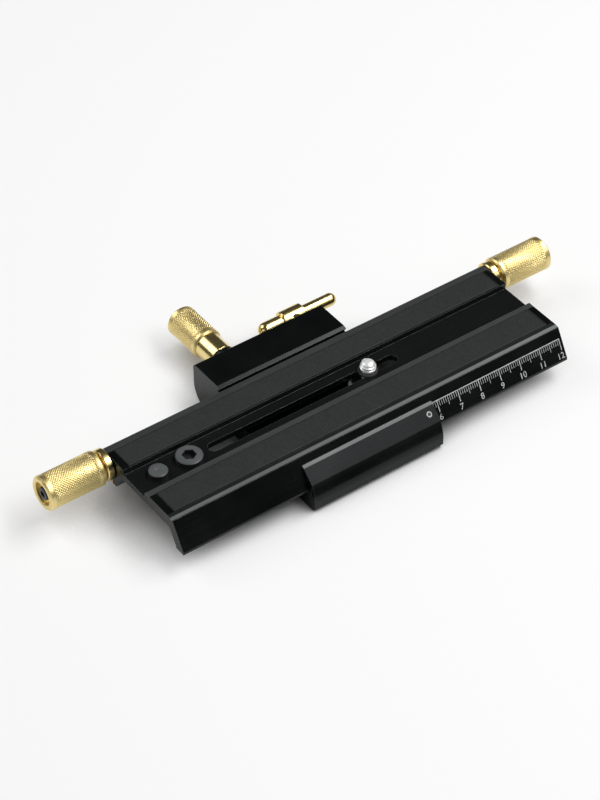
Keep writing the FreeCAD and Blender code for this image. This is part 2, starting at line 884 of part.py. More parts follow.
def eccentric_pin():
    """Pin in the shaft's inner face that works in the carrier's slot."""
    inner = pocket_rear + pocket_play + 2 * lever_pin_radius - press_clearance
    return rod(lever_pin_radius, Vector(pin_station, carrier_leg_front, lever_height),
               Vector(pin_station, inner, lever_height))


def lever_bar():
    """Cross bar with a sleeve over the shaft, thicker on its left arm, with rounded ends."""
    middle = lever_axis(bar_line)
    left_end = middle.sub(Vector(lever_left_reach - lever_left_radius, 0, 0))
    right_end = middle.add(Vector(lever_right_reach - lever_right_radius, 0, 0))
    half = lever_sleeve_length / 2
    profile = [
        (-half, 0),
        (-half, lever_sleeve_radius - head_chamfer),
        (head_chamfer - half, lever_sleeve_radius),
        (half - head_chamfer, lever_sleeve_radius),
        (half, lever_sleeve_radius - head_chamfer),
        (half, 0),
    ]
    bar = turned(profile, middle, ALONG_X)
    bar = bar.fuse(rod(lever_right_radius, middle, right_end))
    bar = bar.fuse(Part.makeSphere(lever_right_radius, right_end))
    bar = bar.fuse(rod(lever_left_radius, left_end, middle))
    bar = bar.fuse(Part.makeSphere(lever_left_radius, left_end))
    bore_end = middle.add(Vector(0, press_clearance, 0))
    bar = bar.cut(rod(lever_shaft_radius + press_clearance, lever_axis(housing_face), bore_end))
    return clean(bar)


def half_nut():
    """Half nut that meets the lead screw from below."""
    rim = screw_axis - nut_rim_drop
    half = nut_length / 2
    nut = block(lever_station - half, lever_station + half, nut_front, nut_front + nut_width,
                carrier_arm_top, rim)
    axis = Vector(lever_station - half, screw_setback, screw_axis)
    seat = rod(screw_radius + running_clearance, axis, axis.add(Vector(nut_length, 0, 0)))
    middle = Vector(lever_station, screw_setback, carrier_arm_top)
    hole = rod(cover_screw_radius + press_clearance, middle, middle.add(Vector(0, 0, nut_screw_reach())))
    return nut.cut([seat, hole])


def nut_screw_reach():
    """Length of the half nut's screw inside the nut."""
    return (screw_axis - screw_radius - carrier_arm_top) / 2


def half_nut_screw():
    """Screw that holds the half nut on its carrier."""
    head_height = cover_screw_radius
    reach = carrier_arm_thickness + nut_screw_reach() - running_clearance
    profile = [(0, 0), (0, cover_screw_head), (head_height, cover_screw_radius),
               (reach, cover_screw_radius), (reach, 0)]
    return turned(profile, Vector(lever_station, screw_setback, carrier_arm_bottom), ALONG_Z)


def half_nut_carrier():
    """Angle bracket that joins the half nut to the eccentric pin under the plate's rear leg."""
    x = lever_station
    half = carrier_arm_width / 2
    arm = block(x - half, x + half, carrier_front, carrier_leg_rear, carrier_arm_bottom, carrier_arm_top)
    half = carrier_leg_width / 2
    leg = block(x - half, x + half, carrier_leg_front, carrier_leg_rear, carrier_arm_bottom, carrier_leg_top)
    reach = pin_slot_half_height
    ends = (pin_station, pin_station + pin_travel)
    y_low, y_high = carrier_leg_front - 1, carrier_leg_rear + 1
    cuts = [block(*ends, y_low, y_high, lever_height - reach, lever_height + reach)]
    for place in ends:
        cuts.append(rod(reach, Vector(place, y_low, lever_height), Vector(place, y_high, lever_height)))
    low = Vector(x, screw_setback, carrier_arm_bottom)
    cuts.append(rod(cover_screw_radius + press_clearance, low, low.add(Vector(0, 0, carrier_arm_thickness))))
    cuts.append(Part.makeCone(cover_screw_head + press_clearance, cover_screw_radius + press_clearance,
                              cover_screw_radius, low, ALONG_Z))
    return clean(arm.fuse(leg).cut(cuts))


def all_parts():
    """Every sub-part by name."""
    screw_bush_right = screw_bush()
    collar_right = thrust_collar()
    knob_right = drive_knob()
    knob_screw_right = drive_knob_screw()
    return {
        "carriage_body": carriage_body(),
        "base_cover": base_cover(),
        "cover_screws": cover_screws(),
        "tripod_bushing": tripod_bushing(),
        "gib_strip": gib_strip(),
        "gib_screws": gib_screws(),
        "lever_bushing": lever_bushing(),
        "shaft_screw": shaft_screw(),
        "index_pin": index_pin(),
        "slide_plate": slide_plate(),
        "front_grip_strip": grip_strip(-front_strip_inner, -strip_outer),
        "rear_grip_strip": grip_strip(rear_strip_inner, strip_outer),
        "screw_bush_right": screw_bush_right,
        "screw_bush_left": mirrored(screw_bush_right),
        "spare_screw": spare_screw(),
        "stop_pin": stop_pin(),
        "drive_screw": drive_screw(),
        "thrust_collar_right": collar_right,
        "thrust_collar_left": mirrored(collar_right),
        "drive_knob_right": knob_right,
        "drive_knob_left": mirrored(knob_right),
        "knob_screw_right": knob_screw_right,
        "knob_screw_left": mirrored(knob_screw_right),
        "slot_washer": ring_washer(washer_radius, slot_width / 2, washer_thickness, channel_floor),
        "thrust_washer": ring_washer(thrust_washer_radius, slot_width / 2, washer_thickness,
                                     thrust_washer_top() - washer_thickness),
        "camera_screw": camera_screw(),
        "lock_shoe": lock_shoe(),
        "lock_screw": lock_screw(),
        "lock_knob": lock_knob(),
        "lock_knob_screw": lock_knob_screw(),
        "lever_shaft": lever_shaft(),
        "eccentric_pin": eccentric_pin(),
        "lever_bar": lever_bar(),
        "half_nut": half_nut(),
        "half_nut_carrier": half_nut_carrier(),
        "half_nut_screw": half_nut_screw(),
    }


os.makedirs("parts", exist_ok=True)
for name, shape in all_parts().items():
    shape.exportStep("parts/" + name + ".step")
    box = shape.BoundBox
    low = f"({box.XMin:.2f}, {box.YMin:.2f}, {box.ZMin:.2f})"
    high = f"({box.XMax:.2f}, {box.YMax:.2f}, {box.ZMax:.2f})"
    state = f"{len(shape.Solids)} solid, {shape.Volume:.1f} mm3, valid {shape.isValid()}"
    print(f"{name}: {state}, {low} to {high}")
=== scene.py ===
"""Looks of a focusing rail: finishes, knurls, threads, ribbed grips and a scale over the solids.

Every size is in metres in the row frame: X along the rail, Y to the lock knob, Z up.
"""

from __future__ import annotations

import json
import logging
import math
from dataclasses import dataclass
from enum import Enum
from typing import Callable, Iterable, Sequence, Union

import bmesh
import bpy
from mathutils import Matrix, Vector

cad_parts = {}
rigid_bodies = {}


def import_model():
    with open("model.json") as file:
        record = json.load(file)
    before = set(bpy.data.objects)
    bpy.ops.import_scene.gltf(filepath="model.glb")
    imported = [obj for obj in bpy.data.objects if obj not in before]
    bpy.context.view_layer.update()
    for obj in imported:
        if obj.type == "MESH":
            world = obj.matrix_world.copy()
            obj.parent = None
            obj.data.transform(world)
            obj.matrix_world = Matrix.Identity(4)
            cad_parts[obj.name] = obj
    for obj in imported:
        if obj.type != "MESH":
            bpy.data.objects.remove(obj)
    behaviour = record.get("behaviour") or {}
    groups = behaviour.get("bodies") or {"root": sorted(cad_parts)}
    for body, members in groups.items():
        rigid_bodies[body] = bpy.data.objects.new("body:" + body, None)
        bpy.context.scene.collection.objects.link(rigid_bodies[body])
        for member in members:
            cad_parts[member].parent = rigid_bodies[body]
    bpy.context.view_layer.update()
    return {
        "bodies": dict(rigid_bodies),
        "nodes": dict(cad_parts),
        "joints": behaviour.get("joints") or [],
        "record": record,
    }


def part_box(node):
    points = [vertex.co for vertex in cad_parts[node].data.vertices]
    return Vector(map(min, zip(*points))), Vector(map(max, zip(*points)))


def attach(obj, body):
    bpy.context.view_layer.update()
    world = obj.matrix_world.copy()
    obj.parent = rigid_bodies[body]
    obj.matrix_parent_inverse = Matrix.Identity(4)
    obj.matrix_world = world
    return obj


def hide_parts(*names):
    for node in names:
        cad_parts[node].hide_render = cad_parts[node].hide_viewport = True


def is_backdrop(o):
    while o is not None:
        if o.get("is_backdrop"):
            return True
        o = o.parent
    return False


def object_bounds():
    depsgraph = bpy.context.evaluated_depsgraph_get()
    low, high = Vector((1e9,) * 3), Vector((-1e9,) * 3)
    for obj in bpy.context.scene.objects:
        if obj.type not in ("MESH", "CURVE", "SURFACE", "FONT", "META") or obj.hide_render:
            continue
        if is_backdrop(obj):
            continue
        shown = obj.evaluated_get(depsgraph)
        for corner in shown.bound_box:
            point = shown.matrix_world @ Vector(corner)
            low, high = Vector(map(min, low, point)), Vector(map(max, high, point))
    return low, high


LOG = logging.getLogger("focusing_rail")
MM = 0.001
FAR = 1.0  # farther out than any point of the rail
FULL_TURN = 2 * math.pi
MERGE_DISTANCE = 1e-7
MARKS_PER_CM = 10
ALONG_X = Vector((1, 0, 0))
ALONG_Y = Vector((0, 1, 0))
ALONG_Z = Vector((0, 0, 1))

Triple = tuple[float, float, float]
Colour = Triple
Range = tuple[float, float]
Profile = Sequence[tuple[float, float]]
Face = Sequence[int]
Material = bpy.types.Material
Mesh = bpy.types.Mesh
Socket = bpy.types.NodeSocket
Value = Union[float, Colour, Socket]


class Axis(Enum):
    """Direction that the marks of a tool follow."""

    X = 0
    Y = 1
    Z = 2

    def scales(self, own: float, others: float) -> Triple:
        """Scales along X, Y and Z, with one for this axis and one for the other two."""
        return tuple(own if axis is self else others for axis in Axis)


class Slot(Enum):
    """Material slots of the record."""

    ANODISED = "anodised_black"
    RUBBER = "rubber_strip"
    KNURLED = "brass_knurled"
    BRASS = "brass_plain"
    STEEL = "steel_bright"


class Graph:
    """A new material with a principled shader and short ways to add and join nodes."""

    EDGE_SAMPLES = 4
    EDGE_COSINE = 0.9
    FLAT_COSINE = 0.995
    OPENNESS_SAMPLES = 8

    def __init__(self, name: str) -> None:
        """Starts the material.

        Args:
            name: The material's name.
        """
        self.material = bpy.data.materials.new(name)
        self.material.use_nodes = True
        self.tree = self.material.node_tree
        self.tree.nodes.clear()
        self.output = self.tree.nodes.new("ShaderNodeOutputMaterial")
        self.skin = self.tree.nodes.new("ShaderNodeBsdfPrincipled")
        self.join(self.skin.outputs["BSDF"], self.output.inputs["Surface"])
        self.place = self.tree.nodes.new("ShaderNodeTexCoord").outputs["Object"]

    def join(self, source: Socket, target: Socket) -> None:
        """Links two sockets."""
        self.tree.links.new(source, target)

    def feed(self, target: Socket, value: Value) -> None:
        """Sets a socket to a number or colour, or links another socket to it.

        Args:
            target: The socket to feed.
            value: What goes into it.
        """
        if isinstance(value, Socket):
            self.join(value, target)
        else:
            target.default_value = with_alpha(value)

    def give(self, name: str, value: Value) -> None:
        """Feeds one of the shader's own sockets."""
        self.feed(self.skin.inputs[name], value)

    def noise(self, scale: float, detail: float = 2.0, stretch: Triple = (1, 1, 1)) -> Socket:
        """Noise over the object's own coordinates.

        Args:
            scale: Lumps per metre.
            detail: Octaves.
            stretch: Factor on the scale along X, Y and Z.

        Returns:
            The noise's value, from 0 to 1.
        """
        mapping = self.tree.nodes.new("ShaderNodeMapping")
        mapping.inputs["Scale"].default_value = stretch
        self.join(self.place, mapping.inputs["Vector"])
        noise = self.tree.nodes.new("ShaderNodeTexNoise")
        noise.inputs["Scale"].default_value = scale
        noise.inputs["Detail"].default_value = detail
        self.join(mapping.outputs["Vector"], noise.inputs["Vector"])
        return noise.outputs["Fac"]

    def spread(self, value: Socket, low: float, high: float,
               start: float = 0.3, end: float = 0.7) -> Socket:
        """Maps a value from start..end to low..high, and holds it there.

        Args:
            value: The value to map.
            low: What start becomes.
            high: What end becomes.
            start: Value that gives low.
            end: Value that gives high.

        Returns:
            The mapped value.
        """
        node = self.tree.nodes.new("ShaderNodeMapRange")
        self.join(value, node.inputs["Value"])
        limits = (("From Min", start), ("From Max", end), ("To Min", low), ("To Max", high))
        for name, number in limits:
            node.inputs[name].default_value = number
        return node.outputs["Result"]

    def along(self, axis: Axis) -> Socket:
        """The object's own coordinate along an axis.

        Args:
            axis: The axis.

        Returns:
            The coordinate, in metres.
        """
        parts = self.tree.nodes.new("ShaderNodeSeparateXYZ")
        self.join(self.place, parts.inputs["Vector"])
        return parts.outputs[axis.value]

    def within(self, axis: Axis, low: float, high: float, soft: float = 0.05 * MM) -> Socket:
        """Masks what lies between two places along an axis.

        Args:
            axis: The axis.
            low: Place of the lower limit.
            high: Place of the upper limit.
            soft: Half width of each limit.

        Returns:
            A value that is 1 between the places and 0 outside.
        """
        place = self.along(axis)
        return self.times(self.spread(place, 0, 1, low - soft, low + soft),
                          self.spread(place, 1, 0, high - soft, high + soft))

    def blend(self, share: Value, first: Value, second: Value) -> Socket:
        """Mixes two colours.

        Args:
            share: How much of the second colour shows, a number or a socket.
            first: Colour or socket.
            second: Colour or socket.

        Returns:
            The mixed colour.
        """
        node = self.tree.nodes.new("ShaderNodeMix")
        node.data_type = "RGBA"
        self.feed(node.inputs["Factor"], share)
        self.feed(node.inputs["A"], first)
        self.feed(node.inputs["B"], second)
        return node.outputs["Result"]

    def compute(self, operation: str, first: Value, second: Value) -> Socket:
        """Applies a Math node to two values.

        Args:
            operation: The node's operation.
            first: Number or socket.
            second: Number or socket.

        Returns:
            The result.
        """
        node = self.tree.nodes.new("ShaderNodeMath")
        node.operation = operation
        self.feed(node.inputs[0], first)
        self.feed(node.inputs[1], second)
        return node.outputs[0]

    def times(self, first: Value, second: Value) -> Socket:
        """Multiplies two numbers or sockets."""
        return self.compute("MULTIPLY", first, second)

    def plus(self, first: Value, second: Value) -> Socket:
        """Adds two numbers or sockets."""
        return self.compute("ADD", first, second)

    def larger(self, first: Value, second: Value) -> Socket:
        """The larger of two numbers or sockets."""
        return self.compute("MAXIMUM", first, second)

    def rounded_edges(self, radius: float) -> tuple[Socket, Socket]:
        """Softens the shading of sharp edges.

        Args:
            radius: Radius of the rounding.

        Returns:
            The softened normal, and a value that is 1 at an edge and 0 away from it.
        """
        bevel = self.tree.nodes.new("ShaderNodeBevel")
        bevel.samples = self.EDGE_SAMPLES
        bevel.inputs["Radius"].default_value = radius
        flat = self.tree.nodes.new("ShaderNodeNewGeometry").outputs["Normal"]
        dot = self.tree.nodes.new("ShaderNodeVectorMath")
        dot.operation = "DOT_PRODUCT"
        self.join(bevel.outputs["Normal"], dot.inputs[0])
        self.join(flat, dot.inputs[1])
        edge = self.spread(dot.outputs["Value"], 1.0, 0.0, self.EDGE_COSINE, self.FLAT_COSINE)
        return bevel.outputs["Normal"], edge

    def openness(self, reach: float) -> Socket:
        """How free a place is of things over it.

        Args:
            reach: How far away things still count.

        Returns:
            A value from 0, shut in, to 1, free.
        """
        node = self.tree.nodes.new("ShaderNodeAmbientOcclusion")
        node.samples = self.OPENNESS_SAMPLES
        node.inputs["Distance"].default_value = reach
        return node.outputs["AO"]

    def relief(self, height: Socket, depth: float, normal: Socket | None = None) -> Socket:
        """Bumps the surface.

        Args:
            height: Height, from 0 to 1.
            depth: What a height of 1 means, in metres.
            normal: Normal to start from.

        Returns:
            The bumped normal.
        """
        bump = self.tree.nodes.new("ShaderNodeBump")
        bump.inputs["Strength"].default_value = 1.0
        bump.inputs["Distance"].default_value = depth
        self.join(height, bump.inputs["Height"])
        if normal is not None:
            self.join(normal, bump.inputs["Normal"])
        return bump.outputs["Normal"]


def with_alpha(value: float | Colour) -> object:
    """A colour with an alpha of 1, or the plain number that the value is."""
    return (*value, 1.0) if isinstance(value, tuple) else value


@dataclass(frozen=True)
class Band:
    """A strip along X, between two Y and over a Z, where the black is painted a lighter grey,
    mostly as a painted highlight.
    """

    low: float
    high: float
    tone: float
    over: float
    tint: Colour = (0.94, 1.0, 0.99)

    def colour(self) -> Colour:
        """The band's cool grey."""
        return tuple(share * self.tone for share in self.tint)

    def mask(self, graph: Graph) -> Socket:
        """A value that is 1 on the band and 0 off it."""
        return graph.times(graph.within(Axis.Y, self.low, self.high),
                           graph.within(Axis.Z, self.over, FAR))


@dataclass(frozen=True)
class Crown:
    """A face that leans back: its Y, the heights where the lean starts and is full, its slope."""

    face: float
    foot: float
    full: float
    slope: float

    def lean(self, graph: Graph, normal: Socket) -> Socket:
        """Leans the normal of the face, along a parabola from its foot and straight above that.

        Args:
            graph: The material's nodes.
            normal: Normal to start from.

        Returns:
            The leaning normal.
        """
        height = graph.along(Axis.Z)
        rise = graph.spread(height, 0, 1, self.foot, self.full)
        bent = graph.times(graph.times(rise, rise), (self.foot - self.full) / 2)
        over = graph.compute("MINIMUM", graph.compute("SUBTRACT", self.full, height), 0.0)
        depth = graph.times(graph.plus(bent, over), graph.within(Axis.Y, -FAR, self.face))
        return graph.relief(depth, self.slope, normal)


@dataclass(frozen=True)
class Anodised:
    """Black anodised aluminium with drawing marks, lighter bands that are mostly painted
    highlights, and edges in a lighter grey, partly rubbed bare and partly a painted highlight.
    """

    name: str = "anodised_black"
    deep: Colour = (0.0018, 0.0021, 0.0022)
    thin: Colour = (0.0036, 0.0042, 0.0043)
    # Lighter grey of the edges: rubbed bare metal and a painted highlight.
    worn: Colour = (0.24, 0.255, 0.252)
    edge_wear: Range = (0.25, 0.45)
    edge_radius: float = 0.3 * MM
    marks: Axis = Axis.X
    marks_scale: float = 1600
    marks_stretch: float = 0.02
    marks_roughness: float = 0.03
    cloud_scale: float = 60
    chip_scale: float = 500
    chip_limits: Range = (0.35, 0.65)
    grain_scale: float = 2500
    grain_share: float = 0.6
    grain_depth: float = 0.004 * MM
    band_cover: Range = (0.8, 1.0)
    band_limits: Range = (0.7, 1.3)
    roughness: Range = (0.22, 0.3)
    specular: float = 0.22
    specular_tint: Colour = (0.9, 1.0, 0.98)
    bands: tuple[Band, ...] = ()
    crown: Crown | None = None

    def make(self) -> Material:
        """Builds the material.

        Returns:
            The new material.
        """
        graph = Graph(self.name)
        marks = graph.noise(self.marks_scale, 3, self.marks.scales(self.marks_stretch, 1.0))
        cloud = graph.noise(self.cloud_scale, 4)
        normal, edge = graph.rounded_edges(self.edge_radius)
        chips = graph.spread(graph.noise(self.chip_scale, 3), *self.edge_wear, *self.chip_limits)
        skin = graph.blend(graph.spread(cloud, 0, 1), self.deep, self.thin)
        patchy = graph.spread(graph.plus(cloud, marks), *self.band_cover, *self.band_limits)
        # Each band paints the black lighter, mostly as a highlight.
        for band in self.bands:
            skin = graph.blend(graph.times(band.mask(graph), patchy), skin, band.colour())
        # Edges take a lighter grey: partly bare metal where rubbed, partly a painted highlight.
        graph.give("Base Color", graph.blend(graph.times(edge, chips), skin, self.worn))
        streaks = graph.spread(marks, -self.marks_roughness, self.marks_roughness)
        graph.give("Roughness", graph.plus(streaks, graph.spread(cloud, *self.roughness)))
        graph.give("Specular IOR Level", self.specular)
        graph.give("Specular Tint", self.specular_tint)
        if self.crown is not None:
            normal = self.crown.lean(graph, normal)
        fine = graph.spread(graph.noise(self.grain_scale, 2), 0, self.grain_share)
        graph.give("Normal", graph.relief(graph.plus(marks, fine), self.grain_depth, normal))
        return graph.material


@dataclass(frozen=True)
class Rubber:
    """Matt black rubber with a dusty bloom on its ribs."""

    name: str = "rubber_strip"
    base: Colour = (0.0155, 0.0165, 0.0168)
    bloom: Colour = (0.0225, 0.0235, 0.024)
    bloom_scale: float = 700
    patch_scale: float = 90
    pore_scale: float = 3200
    pore_depth: float = 0.02 * MM
    roughness: Range = (0.6, 0.72)
    specular: float = 0.35

    def make(self) -> Material:
        """Builds the material.

        Returns:
            The new material.
        """
        graph = Graph(self.name)
        dust = graph.spread(graph.noise(self.bloom_scale, 5), 0, 1)
        graph.give("Base Color", graph.blend(dust, self.base, self.bloom))
        graph.give("Roughness", graph.spread(graph.noise(self.patch_scale, 3), *self.roughness))
        graph.give("Specular IOR Level", self.specular)
        graph.give("Normal", graph.relief(graph.noise(self.pore_scale, 2), self.pore_depth))
        return graph.material


@dataclass(frozen=True)
class TurnedMetal:
    """Metal with the fine rings of a lathe, a faint change of tone and edges painted lighter as a
    highlight.

    With face_over, what lies under that height takes the flank colour, a painted shade.
    """

    name: str
    base: Colour
    shade: Colour
    roughness: Range
    rings: Axis = Axis.X
    ring_scale: float = 5200
    ring_stretch: float = 0.05
    ring_roughness: float = 0.04
    ring_depth: float = 0.003 * MM
    tone_scale: float = 130
    edge_radius: float = 0.12 * MM
    edge_gain: float = 1.08
    edge_share: float = 0.6
    metallic: float = 1.0
    face_over: float | None = None
    # Dark colour under face_over: painted shade on the flank.
    flank: Colour = (0.02, 0.021, 0.021)

    def make(self) -> Material:
        """Builds the material.

        Returns:
            The new material.
        """
        graph = Graph(self.name)
        rings = graph.noise(self.ring_scale, 2, self.rings.scales(1.0, self.ring_stretch))
        tone = graph.noise(self.tone_scale, 4)
        normal, edge = graph.rounded_edges(self.edge_radius)
        colour = graph.blend(graph.spread(tone, 0, 1), self.base, self.shade)
        # Painted shade on the flank under face_over.
        if self.face_over is not None:
            under = graph.within(Axis.Z, -FAR, self.face_over)
            colour = graph.blend(under, colour, self.flank)
        # Edges painted lighter as a highlight.
        lit = tuple(min(1.0, self.edge_gain * channel) for channel in self.base)
        graph.give("Base Color", graph.blend(graph.times(edge, self.edge_share), colour, lit))
        turned = graph.spread(rings, -self.ring_roughness, self.ring_roughness)
        graph.give("Roughness", graph.plus(turned, graph.spread(tone, *self.roughness)))
        graph.give("Metallic", self.metallic)
        graph.give("Normal", graph.relief(rings, self.ring_depth, normal))
        return graph.material


@dataclass(frozen=True)
class Ink:
    """Filled scale marks."""

    name: str = "scale_ink"
    base: Colour = (0.62, 0.63, 0.62)
    thin: Colour = (0.34, 0.35, 0.35)
    cover_scale: float = 900
    roughness: Range = (0.45, 0.6)
    depth: float = 0.004 * MM

    def make(self) -> Material:
        """Builds the material.

        Returns:
            The new material.
        """
        graph = Graph(self.name)
        cover = graph.noise(self.cover_scale, 4)
        graph.give("Base Color", graph.blend(graph.spread(cover, 1, 0), self.base, self.thin))
        graph.give("Roughness", graph.spread(cover, *self.roughness))
        graph.give("Normal", graph.relief(cover, self.depth))
        return graph.material


@dataclass(frozen=True)
class Backdrop:
    """Pale table top with a faint grain, white to the camera and in the metal.

    Its glow fades where the rail is near over it, which paints shade under and around the rail.
    """

    name: str = "pale_table"
    base: Colour = (0.93, 0.93, 0.93)
    grain: Colour = (0.915, 0.915, 0.915)
    grain_scale: float = 12
    seen: Colour = (0.45, 0.45, 0.45)
    glow: float = 0.51
    reach: float = 0.035
    shaded: float = 0.3
    clear: float = 0.75
    roughness: float = 0.85
    specular: float = 0.1

    def make(self) -> Material:
        """Builds the material.

        Returns:
            The new material.
        """
        graph = Graph(self.name)
        rays = graph.tree.nodes.new("ShaderNodeLightPath").outputs
        shiny = graph.larger(rays["Is Glossy Ray"], rays["Is Transmission Ray"])
        seen = graph.larger(rays["Is Camera Ray"], shiny)
        lit = graph.blend(graph.noise(self.grain_scale, 3), self.base, self.grain)
        graph.give("Base Color", graph.blend(seen, lit, self.seen))
        graph.give("Emission Color", (1.0, 1.0, 1.0))
        # Painted shade: the glow fades where the rail is near over the table.
        free = graph.spread(graph.openness(self.reach), 0, 1, self.shaded, self.clear)
        graph.give("Emission Strength", graph.times(graph.times(seen, self.glow), free))
        graph.give("Roughness", self.roughness)
        graph.give("Specular IOR Level", self.specular)
        return graph.material


def brass(name: str, rings: Axis, roughness: Range) -> TurnedMetal:
    """Pale brass."""
    return TurnedMetal(name, (0.86, 0.71, 0.33), (0.79, 0.62, 0.26), roughness, rings)


def bronze(name: str, rings: Axis) -> TurnedMetal:
    """Bearing bronze."""
    return TurnedMetal(name, (0.62, 0.42, 0.22), (0.5, 0.32, 0.16), (0.3, 0.42), rings)


def steel(name: str, rings: Axis) -> TurnedMetal:
    """Bright turned steel."""
    return TurnedMetal(name, (0.87, 0.875, 0.88), (0.78, 0.785, 0.79), (0.24, 0.34), rings)


def oxide(name: str, rings: Axis) -> TurnedMetal:
    """Steel with a black oxide skin."""
    return TurnedMetal(name, (0.035, 0.035, 0.038), (0.055, 0.055, 0.058), (0.34, 0.46), rings,
                       metallic=0.6)


def plated_steel(name: str, rings: Axis) -> TurnedMetal:
    """Steel with a white satin plating."""
    return TurnedMetal(name, (0.95, 0.95, 0.94), (0.9, 0.9, 0.89), (0.34, 0.44), rings,
                       metallic=0.45)


def dull_steel(name: str, rings: Axis, face_over: float) -> TurnedMetal:
    """Grey blasted steel, with painted shade darkening its flank under its face."""
    return TurnedMetal(name, (0.125, 0.137, 0.135), (0.09, 0.1, 0.1), (0.42, 0.52), rings,
                       metallic=0.35, face_over=face_over)


def dark_plastic(name: str, rings: Axis) -> TurnedMetal:
    """Matt black plastic, turned."""
    return TurnedMetal(name, (0.03, 0.03, 0.032), (0.045, 0.045, 0.048), (0.5, 0.62), rings,
                       metallic=0.0)


class Finishes:
    """The finishes of the rail, each made once."""

    KNURLED: Range = (0.36, 0.46)
    POLISHED: Range = (0.16, 0.26)
    CHANNEL_PIECES_TOP = 19.9 * MM
    # Painted highlight bands on the front chamfer, on the land from the front strip to the
    # channel and on the land and edge behind the rear strip; the land before the front strip and
    # the channel floor are only painted lighter.
    PLATE_BANDS = (
        Band(-22.95 * MM, -21.5 * MM, 0.15, 19.9 * MM),  # chamfer of the front edge
        Band(-21.5 * MM, -19.8 * MM, 0.018, 20.0 * MM),  # land before the front strip
        Band(-8.2 * MM, -5.7 * MM, 0.06, 20.0 * MM),  # land from the front strip to the channel
        Band(-5.7 * MM, 8.8 * MM, 0.007, 17.9 * MM),  # floor of the channel
        Band(19.8 * MM, 23.3 * MM, 0.05, 19.9 * MM),  # land and edge behind the rear strip
    )
    # Painted highlight along the jaw's crest.
    JAW_CREST = Band(-26.2 * MM, -25.0 * MM, 0.22, 16.7 * MM)
    JAW_CROWN = Crown(-31.4 * MM, 5.0 * MM, 8.0 * MM, 0.27)

    def __init__(self) -> None:
        """Makes every material."""
        self.anodised = Anodised().make()
        self.anodised_plate = Anodised(name="anodised_black_plate", bands=self.PLATE_BANDS).make()
        self.anodised_carriage = Anodised(name="anodised_black_carriage",
                                          bands=(self.JAW_CREST,), crown=self.JAW_CROWN).make()
        self.anodised_end = Anodised(name="anodised_black_milled", marks=Axis.Y).make()
        self.rubber = Rubber().make()
        self.knurl_x = brass("brass_knurled_x", Axis.X, self.KNURLED).make()
        self.knurl_y = brass("brass_knurled_y", Axis.Y, self.KNURLED).make()
        self.brass_x = brass("brass_plain_x", Axis.X, self.POLISHED).make()
        self.brass_y = brass("brass_plain_y", Axis.Y, self.POLISHED).make()
        self.bronze_x = bronze("bronze_x", Axis.X).make()
        self.bronze_y = bronze("bronze_y", Axis.Y).make()
        self.steel_x = steel("steel_bright_x", Axis.X).make()
        self.steel_y = steel("steel_bright_y", Axis.Y).make()
        self.steel_z = steel("steel_bright_z", Axis.Z).make()
        self.oxide_x = oxide("steel_dark_x", Axis.X).make()
        self.oxide_y = oxide("steel_dark_y", Axis.Y).make()
        self.oxide_z = oxide("steel_dark_z", Axis.Z).make()
        self.plated_z = plated_steel("steel_plated_z", Axis.Z).make()
        self.dull_z = dull_steel("steel_grey_z", Axis.Z, self.CHANNEL_PIECES_TOP).make()
        self.washer = dark_plastic("washer_dark", Axis.Z).make()
        self.ink = Ink().make()


def dress(node: bpy.types.Object, material: Material) -> None:
    """Gives a carried-over CAD node its finish.

    Args:
        node: The node's object.
        material: Its finish.
    """
    node.data.materials.clear()
    node.data.materials.append(material)
    LOG.info("%s: finished in %s", node.name, material.name)


def piece(name: str, mesh: Mesh, material: Material, body: str,
          replaced: Sequence[str] = (), sharp: float = 35.0) -> bpy.types.Object:
    """Places a new mesh as a piece of the rail.

    Args:
        name: The piece's name.
        mesh: Its mesh, in the row frame.
        material: Its finish.
        body: The body that it rides on.
        replaced: CAD nodes that it stands for.
        sharp: Angle in degrees over which an edge stays sharp.

    Returns:
        The placed object.
    """
    obj = bpy.data.objects.new(name, mesh)
    bpy.context.scene.collection.objects.link(obj)
    mesh.name = name
    mesh.shade_smooth()
    mesh.set_sharp_from_angle(angle=math.radians(sharp))
    mesh.materials.clear()
    mesh.materials.append(material)
    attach(obj, body)
    if replaced:
        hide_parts(*replaced)
    LOG.info("%s: %d faces, rides on %s", name, len(mesh.polygons), body)
    return obj


def mesh_of(points: Iterable[Vector], faces: Iterable[Face]) -> Mesh:
    """Makes a clean mesh with its normals outward.

    Args:
        points: Corners, in the row frame.
        faces: Corner numbers of each face.

    Returns:
        The mesh.
    """
    mesh = bpy.data.meshes.new("new_piece")
    mesh.from_pydata([tuple(p) for p in points], [], [tuple(f) for f in faces])
    work = bmesh.new()
    work.from_mesh(mesh)
    bmesh.ops.remove_doubles(work, verts=work.verts, dist=MERGE_DISTANCE)
    bmesh.ops.recalc_face_normals(work, faces=work.faces)
    work.to_mesh(mesh)
    work.free()
    return mesh


def joined(meshes: Sequence[Mesh]) -> Mesh:
    """Makes one mesh from several.

    Args:
        meshes: The meshes, which are used up.

    Returns:
        The joint mesh.
    """
    work = bmesh.new()
    for mesh in meshes:
        work.from_mesh(mesh)
        bpy.data.meshes.remove(mesh)
    result = bpy.data.meshes.new("new_piece")
    work.to_mesh(result)
    work.free()
    return result


@dataclass(frozen=True)
class Spindle:
    """An axis to turn round: a point on it and its direction."""

    origin: Vector
    axis: Vector

    def at(self, along: float, radius: float, turn: float) -> Vector:
        """A point round the axis.

        Args:
            along: Distance along the axis.
            radius: Distance from it.
            turn: Angle round it.

        Returns:
            The point, in the row frame.
        """
        side = ALONG_Z if abs(self.axis.z) < 0.5 else ALONG_X
        across = self.axis.cross(side).normalized()
        up = across.cross(self.axis)
        spoke = math.cos(turn) * across + math.sin(turn) * up
        return self.origin + along * self.axis + radius * spoke


